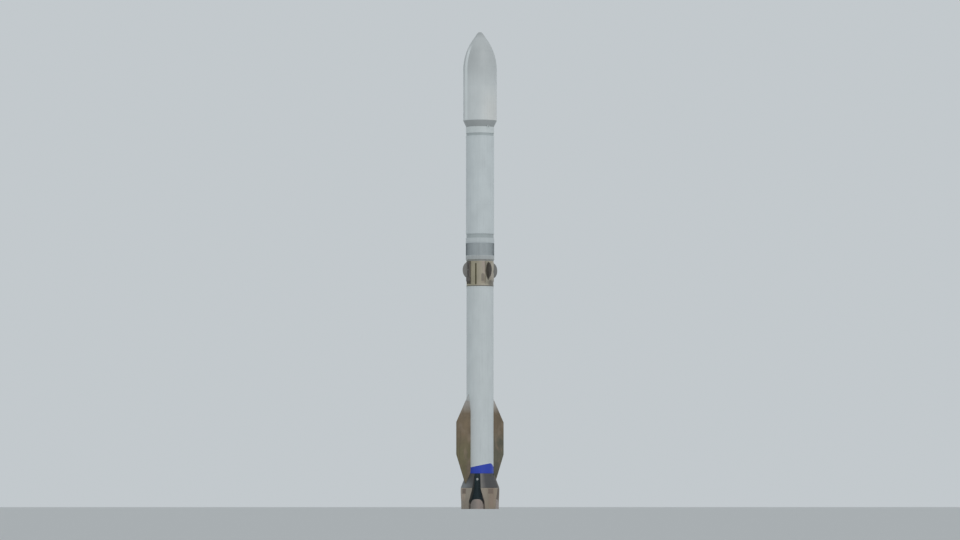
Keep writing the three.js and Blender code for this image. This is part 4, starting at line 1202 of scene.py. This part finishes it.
def hatch_part():
    """A door with a half-round head, which lies flat across X."""
    points = [(-HATCH_HALF, 0), (HATCH_HALF, 0), *arc(0, HATCH_SIDE, HATCH_HALF, 0, pi, 16)[1:-1]]
    bm = prism([(0, y, z) for y, z in points], (HATCH_THICK, 0, 0))
    sink_panel(bm, [f for f in bm.faces if f.normal.x > 0.9], 0.004, 0.001, 0.001)
    return bm

hatch = stamped(hatch_part(), [out_at(MODULE_R - HATCH_IN, HATCH_BEARING, HATCH_Z)])
make_piece(hatch, "forward_module_hatch", "aft_tan", finish="module_hatch")

# %% [markdown]
# ## Fins and their housings
#
# Each fin is a paddle whose section is a thin lens. Two copies of a grid make its faces: columns run
# along the chord, rows run out to the rounded tip, and the thickness dies away at the rim. Bridging the
# two rims closes it, and a rounded strip lies over the seam. The housing is a box with sloping ends,
# drawn out of its side view, and the fin's shaft comes out of its sunk front.

# %% Housings
FIN_Z, FIN_ROOT, FIN_TIP = 6.225, 0.3935, 0.544
HOUSING_HALF, HOUSING_FACE = 0.075, 0.388
HOUSING = [(0.340, 5.860), (0.350, 5.860), (HOUSING_FACE, 5.950), (HOUSING_FACE, 6.430), (0.350, 6.460),
           (0.340, 6.460)]
FACE_BOLTS = [(y, z) for y in (-0.058, 0.058) for z in (-0.24, -0.12, 0, 0.1, 0.19)]

def housing_part():
    bm = prism([(r, -HOUSING_HALF, z) for r, z in HOUSING], (0, 2 * HOUSING_HALF, 0))
    sink_panel(bm, [f for f in bm.faces if f.normal.x > 0.99], 0.008, 0.002, 0.002)
    outer = [e for e in bm.edges if e.calc_face_angle(0) > radians(15)
             and min(v.co.x for v in e.verts) > HOUSING_FACE - 0.0005]
    round_edges(bm, outer, 0.003)
    bolt_places = [Matrix.Translation((HOUSING_FACE - 0.002, y, FIN_Z + z)) for y, z in FACE_BOLTS]
    stamp(bm, bolt_part(BOLT), bolt_places)
    return bm

for i, housing in enumerate(copies(housing_part(), map(turned, QUARTERS))):
    make_piece(housing, f"fin_housing_cover_{i + 1}", "fin_brown", stands_for=[f"fin_housing_{i + 1}"],
               finish="housing_brown")

# %% Fins
FIN_HALF_CHORD, FIN_HALF, FIN_POWER = 0.200, 0.013, 0.7
CHORD_STEPS, SPAN_STEPS = 40, 14
RIM_HALF, RIM_R = 0.0025, 0.003
SHAFT_R, SHAFT_END = 0.020, 0.3625
CAP_HALF, CAP_HALF_LONG, CAP_THICK = 0.0155, 0.12, 0.010

def fin_face(bm, side):
    """One face of the paddle, as a grid. Its rim stays a little apart from the other face's."""
    made = bmesh.ops.create_grid(bm, x_segments=CHORD_STEPS, y_segments=SPAN_STEPS, size=1)
    for vert in made["verts"]:
        chord, out = vert.co.x, (vert.co.y + 1) / 2
        across = sqrt(max(0.0, 1 - chord ** 2))
        thick = RIM_HALF + (FIN_HALF - RIM_HALF) * (max(0.0, 1 - out ** 2) * across) ** FIN_POWER
        reach = FIN_ROOT + (FIN_TIP - FIN_ROOT) * out * across
        vert.co = (reach, side * thick, FIN_Z + FIN_HALF_CHORD * chord)

def fin_part():
    bm = bmesh.new()
    fin_face(bm, 1)
    fin_face(bm, -1)
    bmesh.ops.remove_doubles(bm, verts=bm.verts, dist=MERGE)
    rims = [e for e in bm.edges if len(e.link_faces) == 1]
    bmesh.ops.bridge_loops(bm, edges=rims)
    bmesh.ops.recalc_face_normals(bm, faces=bm.faces)
    return bm

def rim_part():
    """A rounded strip along the curved edge of the paddle."""
    turns = [pi / 2 * i / 24 for i in range(-24, 25)]
    reach, chord = FIN_TIP - FIN_ROOT - RIM_R, FIN_HALF_CHORD - RIM_R
    bm = bmesh.new()
    pipe(bm, [(FIN_ROOT + reach * cos(a), 0, FIN_Z + chord * sin(a)) for a in turns], RIM_R, 12)
    return outwards(bm)

# %% Paddles, rims, shafts and root caps
# Painted shade: the fourth fin and its rim take darker finishes than the other three, as that face is
# turned from the light.
FIN_FINISHES_WITH_PAINTED_SHADE = ("fin_face", "fin_face", "fin_face", "fin_brown")
RIM_FINISHES_WITH_PAINTED_SHADE = ("fin_edge", "fin_edge", "fin_edge", "fin_face")
fins = copies(fin_part(), map(turned, QUARTERS))
rims = copies(rim_part(), map(turned, QUARTERS))
for i, (fin, rim) in enumerate(zip(fins, rims)):
    body = f"fin_{i + 1}"
    make_piece(fin, f"fin_paddle_{i + 1}", "fin_brown", body, [body], finish=FIN_FINISHES_WITH_PAINTED_SHADE[i])
    make_piece(rim, f"fin_rim_{i + 1}", "fin_edge", body, finish=RIM_FINISHES_WITH_PAINTED_SHADE[i])
    at_fin = out_at(0, QUARTERS[i], FIN_Z)
    shaft = rod_part(SHAFT_R, SHAFT_END, FIN_ROOT + 0.004, 48, 0.001)
    make_piece(stamped(shaft, [at_fin]), f"fin_shaft_{i + 1}", "bright_metal", body)
    root_cap = box_part((FIN_ROOT, -CAP_HALF, -CAP_HALF_LONG),
                        (FIN_ROOT + CAP_THICK, CAP_HALF, CAP_HALF_LONG), 0.003)
    make_piece(stamped(root_cap, [at_fin]), f"fin_root_cap_{i + 1}", "fin_brown", body)

# %% [markdown]
# ## Interstage
#
# The interstage is an open tube, stiffened by upright stringers between a light ring at its foot and the
# joint with the second stage. It stands on the module by a foot that turns inwards.

# %% Tube, stringers and foot ring
INTER_R, INTER_LOW, INTER_HIGH = span("interstage")
INTER_SKIN, INTER_INSIDE, INTER_FOOT_R = INTER_R - 0.003, INTER_R - 0.015, 0.320
FOOT_TOP = INTER_LOW + 0.015
RIBBED_LOW, RIBBED_HIGH, RIB_DEEP, RIB_SLOPE = 6.612, 6.925, 0.0085, 0.006
BAND_TOP, BAND_DEEP, BAND_BOLTS_Z = 6.600, 0.010, 6.518
JOINT_LAND = 6.930, 6.946
STRINGERS = 72

behind_ribs = INTER_R - RIB_DEEP
tube_section = [
    (INTER_FOOT_R, INTER_LOW), (INTER_SKIN, INTER_LOW), (INTER_SKIN, RIBBED_LOW - RIB_SLOPE),
    (behind_ribs, RIBBED_LOW), (behind_ribs, RIBBED_HIGH), (INTER_SKIN, RIBBED_HIGH + RIB_SLOPE),
    (INTER_SKIN, INTER_HIGH), (INTER_INSIDE, INTER_HIGH), (INTER_INSIDE, FOOT_TOP),
    (INTER_FOOT_R, FOOT_TOP),
]
tube = round_part(tube_section, ring=True)
spun(tube, land_section(INTER_R - 0.0035, *JOINT_LAND), ring=True)
bolts_round(tube, INTER_R - 0.001, sum(JOINT_LAND) / 2, 96, SMALL_BOLT)
make_piece(tube, "interstage_tube", "interstage_grey", stands_for=["interstage"])

stringer = box_part((-RIB_DEEP - 0.001, -0.004, RIBBED_LOW - 0.004),
                    (-0.0005, 0.004, RIBBED_HIGH + 0.004), 0.001, 1)
stringers = stamped(stringer, [out_at(INTER_R, 360 * i / STRINGERS, 0) for i in range(STRINGERS)])
make_piece(stringers, "interstage_stringers", "interstage_grey", finish="stringer_grey_and_shade")

foot_band = round_part([(INTER_R - BAND_DEEP, INTER_LOW + 0.002), (INTER_R, INTER_LOW + 0.002),
                        (INTER_R, BAND_TOP - 0.006), (INTER_R - 0.002, BAND_TOP),
                        (INTER_R - BAND_DEEP, BAND_TOP)], ring=True)
bolts_round(foot_band, INTER_R - 0.0015, BAND_BOLTS_Z, 72, SMALL_BOLT)
make_piece(foot_band, "interstage_foot_band", "interstage_grey", finish="band_grey")

# %% [markdown]
# Nobody sees the second stage's engines while the interstage is closed round them, so one plain turned
# block stands in for them here as it does in the frame.

# %% Upper engine block
BLOCK_CHAMFER = 0.012
block_r, block_low, block_high = span("upper_engine_block")
block = round_part([(0, block_low), (block_r - BLOCK_CHAMFER, block_low),
                    (block_r, block_low + BLOCK_CHAMFER), (block_r, block_high), (0, block_high)], 96)
make_piece(block, "upper_engine_mass", "engine_metal", stands_for=["upper_engine_block"])

# %% [markdown]
# ## Payload ring and adapter
#
# The ring carries the fairing's hinges: two ears and a pin on each side. On top of it stands the cone
# that the payload is bolted to, which shows when the fairing opens.

# %% Ring, ears and pins
PAY_R, PAY_LOW, PAY_HIGH, PAY_SEAM = 0.368, 9.808, 9.9737, 9.893
HINGE_Y, HINGE_Z, EYE_R, PIN_R = 0.380, 9.985, 0.009, 0.005
EAR_FROM, EAR_TO, EAR_LOW, EAR_IN = 0.021, 0.036, 9.900, 0.010

def eye_points(first, last):
    """Points round a hinge eye, in steps of 15 degrees from its outer side."""
    return arc(HINGE_Y, HINGE_Z, EYE_R, pi / 12 * first, pi / 12 * last, last - first)

def ear_part(start, end):
    """A hinge ear across X: a plate with a round eye at its head."""
    outline = [(PAY_R - EAR_IN, EAR_LOW), (PAY_R, EAR_LOW), *eye_points(-2, 14), (PAY_R - EAR_IN, 9.953)]
    return prism([(start, -y, z) for y, z in outline], (end - start, 0, 0))

ring_side = grooved_side(PAY_R, PAY_LOW, PAY_HIGH, (PAY_SEAM,), 0.008, 0.003)
ring = round_part([(0, PAY_LOW), *ring_side, (0, PAY_HIGH)])
for start, end in ((EAR_FROM, EAR_TO), (-EAR_TO, -EAR_FROM)):
    stamp(ring, ear_part(start, end), map(turned, SIDES))
make_piece(ring, "payload_ring_skin", "upper_white", stands_for=["payload_ring"], finish="ring_white")

hinge_line = Matrix.Translation((0, -HINGE_Y, HINGE_Z))
pins = stamped(rod_part(PIN_R, -EAR_TO, EAR_TO, 24, 0.0006), [turned(b) @ hinge_line for b in SIDES])
make_piece(pins, "hinge_pins", "bright_metal")

# %% Adapter
CONE_FOOT, CONE_HEAD = (0.317, 9.988), (0.168, 10.190)
TOP_FLANGE_R = 0.175
ADAPTER = [(0, 9.974), (0.325, 9.974), (0.325, 9.986), CONE_FOOT, CONE_HEAD, (TOP_FLANGE_R, 10.196),
           (TOP_FLANGE_R, 10.225), (0.150, 10.225), (0.148, 10.215), (0, 10.215)]
CONE_RIBS, RIB_HALF_THICK, RIB_LONG = 24, 0.003, 0.245

adapter = round_part(ADAPTER, 96)
cone_rib = box_part((-RIB_HALF_THICK, -RIB_HALF_THICK, 0), (RIB_HALF_THICK, RIB_HALF_THICK, RIB_LONG),
                    0.001, 1)
lean = Matrix.Rotation(-atan2(CONE_FOOT[0] - CONE_HEAD[0], CONE_HEAD[1] - CONE_FOOT[1]), 4, "Y")
stamp(adapter, cone_rib, [out_at(CONE_FOOT[0], 360 * i / CONE_RIBS, CONE_FOOT[1]) @ lean
                          for i in range(CONE_RIBS)])
bolts_round(adapter, TOP_FLANGE_R - 0.0005, 10.211, 36, SMALL_BOLT)
make_piece(adapter, "payload_adapter_cone", "interstage_grey", stands_for=["payload_adapter"])

# %% [markdown]
# ## Fairing
#
# The fairing is a shell in two halves. Its section runs from the flare up the side and the long arc of
# the nose to a small round tip, once outside and once inside. Half a turn of the outline between the two
# makes a half, closed where it is cut. Inside, a quilted lining keeps noise off the payload.

# %% Half shells
FAIRING_R, BOATTAIL_R = 0.439, 0.358
FAIRING_LOW, FLARE_TOP, SHOULDER_Z = 9.974, 10.140, 11.465
FLARE_SHARES, SIDE_HEIGHTS = (0, 0.05, 0.5, 0.97), (FLARE_TOP + 0.004, 10.16, 10.5, 10.85, 11.2)
WALL, SPLIT = 0.008, 0.00015
TIP_R, CONE, SHOULDER_R = 0.083, radians(35.4), 1.404
HALF_STEPS = 96

def fairing_section(wall):
    """(radius, height) points from the foot to the tip, set in by the wall."""
    centre = FAIRING_R - SHOULDER_R
    shoulder = arc(centre, SHOULDER_Z, SHOULDER_R - wall, 0, CONE, 24)
    cone_r = centre + SHOULDER_R * cos(CONE)
    rise = (cone_r - TIP_R * cos(CONE)) / tan(CONE)
    tip_z = SHOULDER_Z + SHOULDER_R * sin(CONE) + rise - TIP_R * sin(CONE)
    tip = arc(0, tip_z, TIP_R - wall, CONE, pi / 2, 16)
    tip[-1] = (0, tip[-1][1])
    flare = [(BOATTAIL_R - wall + (FAIRING_R - BOATTAIL_R) * share,
              FAIRING_LOW + (FLARE_TOP - FAIRING_LOW) * share) for share in FLARE_SHARES]
    sides = [(FAIRING_R - wall, z) for z in SIDE_HEIGHTS]
    return [*flare, *sides, *shoulder, *tip]

def half_shell(outer, inner):
    """Half a turn of the wall between two sections, on the side of minus Y, clear of the other half."""
    bm = wall_part(outer, inner, 180, 360, HALF_STEPS)
    for vert in bm.verts:
        vert.co.y = min(vert.co.y, -SPLIT)
    return bm

shells = copies(half_shell(fairing_section(0), fairing_section(WALL)), map(turned, SIDES))
for i, shell in enumerate(shells):
    body = f"fairing_half_{i + 1}"
    make_piece(shell, f"fairing_shell_{i + 1}", "fairing_white", body, [body])

# %% [markdown]
# Rails run along the split, and bands cover the ring seams. They are walls too, a millimetre and a half
# proud of the shell, cut from the same section. Doors and vents sit between the bands.

# %% Covers cut from the fairing's section
PROUD, COVER_IN = 0.0015, 0.003

def section_between(offset, low, high):
    """The fairing's section at an offset, from one height to another."""
    points = fairing_section(-offset)
    kept = []
    for (r0, z0), (r1, z1) in zip(points, points[1:]):
        for edge in (low, high):
            if z0 < edge < z1:
                share = (edge - z0) / (z1 - z0)
                kept.append((r0 + (r1 - r0) * share, edge))
        if low < z1 < high:
            kept.append((r1, z1))
    return sorted(kept, key=lambda point: point[1])

def cover_part(low, high, first, last, steps):
    """A thin wall, a little in the shell and a little proud of it."""
    outer = section_between(PROUD, low, high)
    inner = [(r - PROUD - COVER_IN, z) for r, z in outer]
    return wall_part(outer, inner, first, last, steps)

# %% Rails, bands, doors and vents
RING_SEAMS = (10.150, 10.620, 11.085, 11.550, 11.960)
SEAM_HALF, RAIL_FROM_SEAM = 0.007, 0.008
SPLIT_DEGREES, RAIL_DEGREES = 0.05, 1.7
VENTS, VENT_Z, VENT_R = 8, 10.300, 0.014
SLATS_ASIDE, SLAT_APART, SLAT_HALF = 2, 0.004375, 0.0012
DOOR_FRAME = 0.006
DOORS = [
    # bearing, low, high, half angle
    (222, 10.68, 10.86, 9),
    (268, 10.68, 10.82, 6),
    (305, 11.15, 11.35, 10),
]

def vent_part():
    """A round grating: a rim with slats across it."""
    bm = rod_part(VENT_R, -0.004, 0.0012, 32, 0.0004)
    for k in range(-SLATS_ASIDE, SLATS_ASIDE + 1):
        y = k * SLAT_APART
        half = sqrt(VENT_R ** 2 - y ** 2) - 0.002
        stamp(bm, box_part((0.0008, y - SLAT_HALF, -half), (0.0024, y + SLAT_HALF, half), 0.0003, 1))
    return bm

def trim_part():
    first, last = 180 + SPLIT_DEGREES, 360 - SPLIT_DEGREES
    covers = [(low + RAIL_FROM_SEAM, high - RAIL_FROM_SEAM, start, end, 2)
              for low, high in zip(RING_SEAMS, RING_SEAMS[1:])
              for start, end in ((first, 180 + RAIL_DEGREES), (360 - RAIL_DEGREES, last))]
    covers += [(z - SEAM_HALF, z + SEAM_HALF, first, last, HALF_STEPS) for z in RING_SEAMS]
    bm = bmesh.new()
    for cover in covers:
        stamp(bm, cover_part(*cover))
    for bearing, low, high, half_angle in DOORS:
        stamp(bm, plate_part(FAIRING_R, low, high, half_angle, PROUD, DOOR_FRAME), [turned(bearing)])
    vent_bearings = [180 + 180 * (k + 0.5) / VENTS for k in range(VENTS)]
    stamp(bm, vent_part(), [out_at(FAIRING_R, bearing, VENT_Z) for bearing in vent_bearings])
    return bm

for i, trim_piece in enumerate(copies(trim_part(), map(turned, SIDES))):
    make_piece(trim_piece, f"fairing_trim_{i + 1}", "fairing_white", f"fairing_half_{i + 1}")

# %% [markdown]
# The lining is foam under cloth, held to the shell in panels. Each panel is a short piece of wall with
# its edges well rounded, so that it swells a little between the seams.

# %% Quilted lining
LINING_ROWS = [10.20, 10.55, 10.90, 11.25, 11.55, 11.85]
LINING_SECTORS, SEAM_DEGREES = 9, 0.5
PANEL_IN, PANEL_SEAM, PANEL_THICK, PANEL_ROUND = WALL - 0.001, 0.004, 0.011, 0.0045

def lining_part():
    bm = bmesh.new()
    each = 180 / LINING_SECTORS
    for low, high in zip(LINING_ROWS, LINING_ROWS[1:]):
        near = section_between(-PANEL_IN, low + PANEL_SEAM, high - PANEL_SEAM)
        far = [(r - PANEL_THICK, z) for r, z in near]
        for k in range(LINING_SECTORS):
            first = 180 + each * k
            stamp(bm, wall_part(near, far, first + SEAM_DEGREES, first + each - SEAM_DEGREES, 6))
    round_edges(bm, [e for e in bm.edges if e.calc_face_angle(0) > radians(50)], PANEL_ROUND, 3)
    return bm

for i, lining in enumerate(copies(lining_part(), map(turned, SIDES))):
    pad = make_piece(lining, f"fairing_lining_{i + 1}", "lining_cream", f"fairing_half_{i + 1}")

# %% [markdown]
# Each half turns on a lug between the two ears of the payload ring. Ear and lug are the same kind of
# part: a flat outline with an eye round the pin, drawn out along the hinge line.

# %% Hinge lugs of the fairing
LUG_HALF, LUG_UP = 0.020, 0.035

def lug_part():
    """A lug across X, which carries a round eye in front of the shell's foot."""
    surface = BOATTAIL_R + 0.003
    outline = [(surface - 0.008, HINGE_Z - 0.005), *eye_points(-6, 6),
               (surface + 0.013, HINGE_Z + LUG_UP), (surface - 0.002, HINGE_Z + LUG_UP)]
    return prism([(-LUG_HALF, -y, z) for y, z in outline], (2 * LUG_HALF, 0, 0))

for i, lug in enumerate(copies(lug_part(), map(turned, SIDES))):
    make_piece(lug, f"fairing_hinge_lug_{i + 1}", "fairing_white", f"fairing_half_{i + 1}")
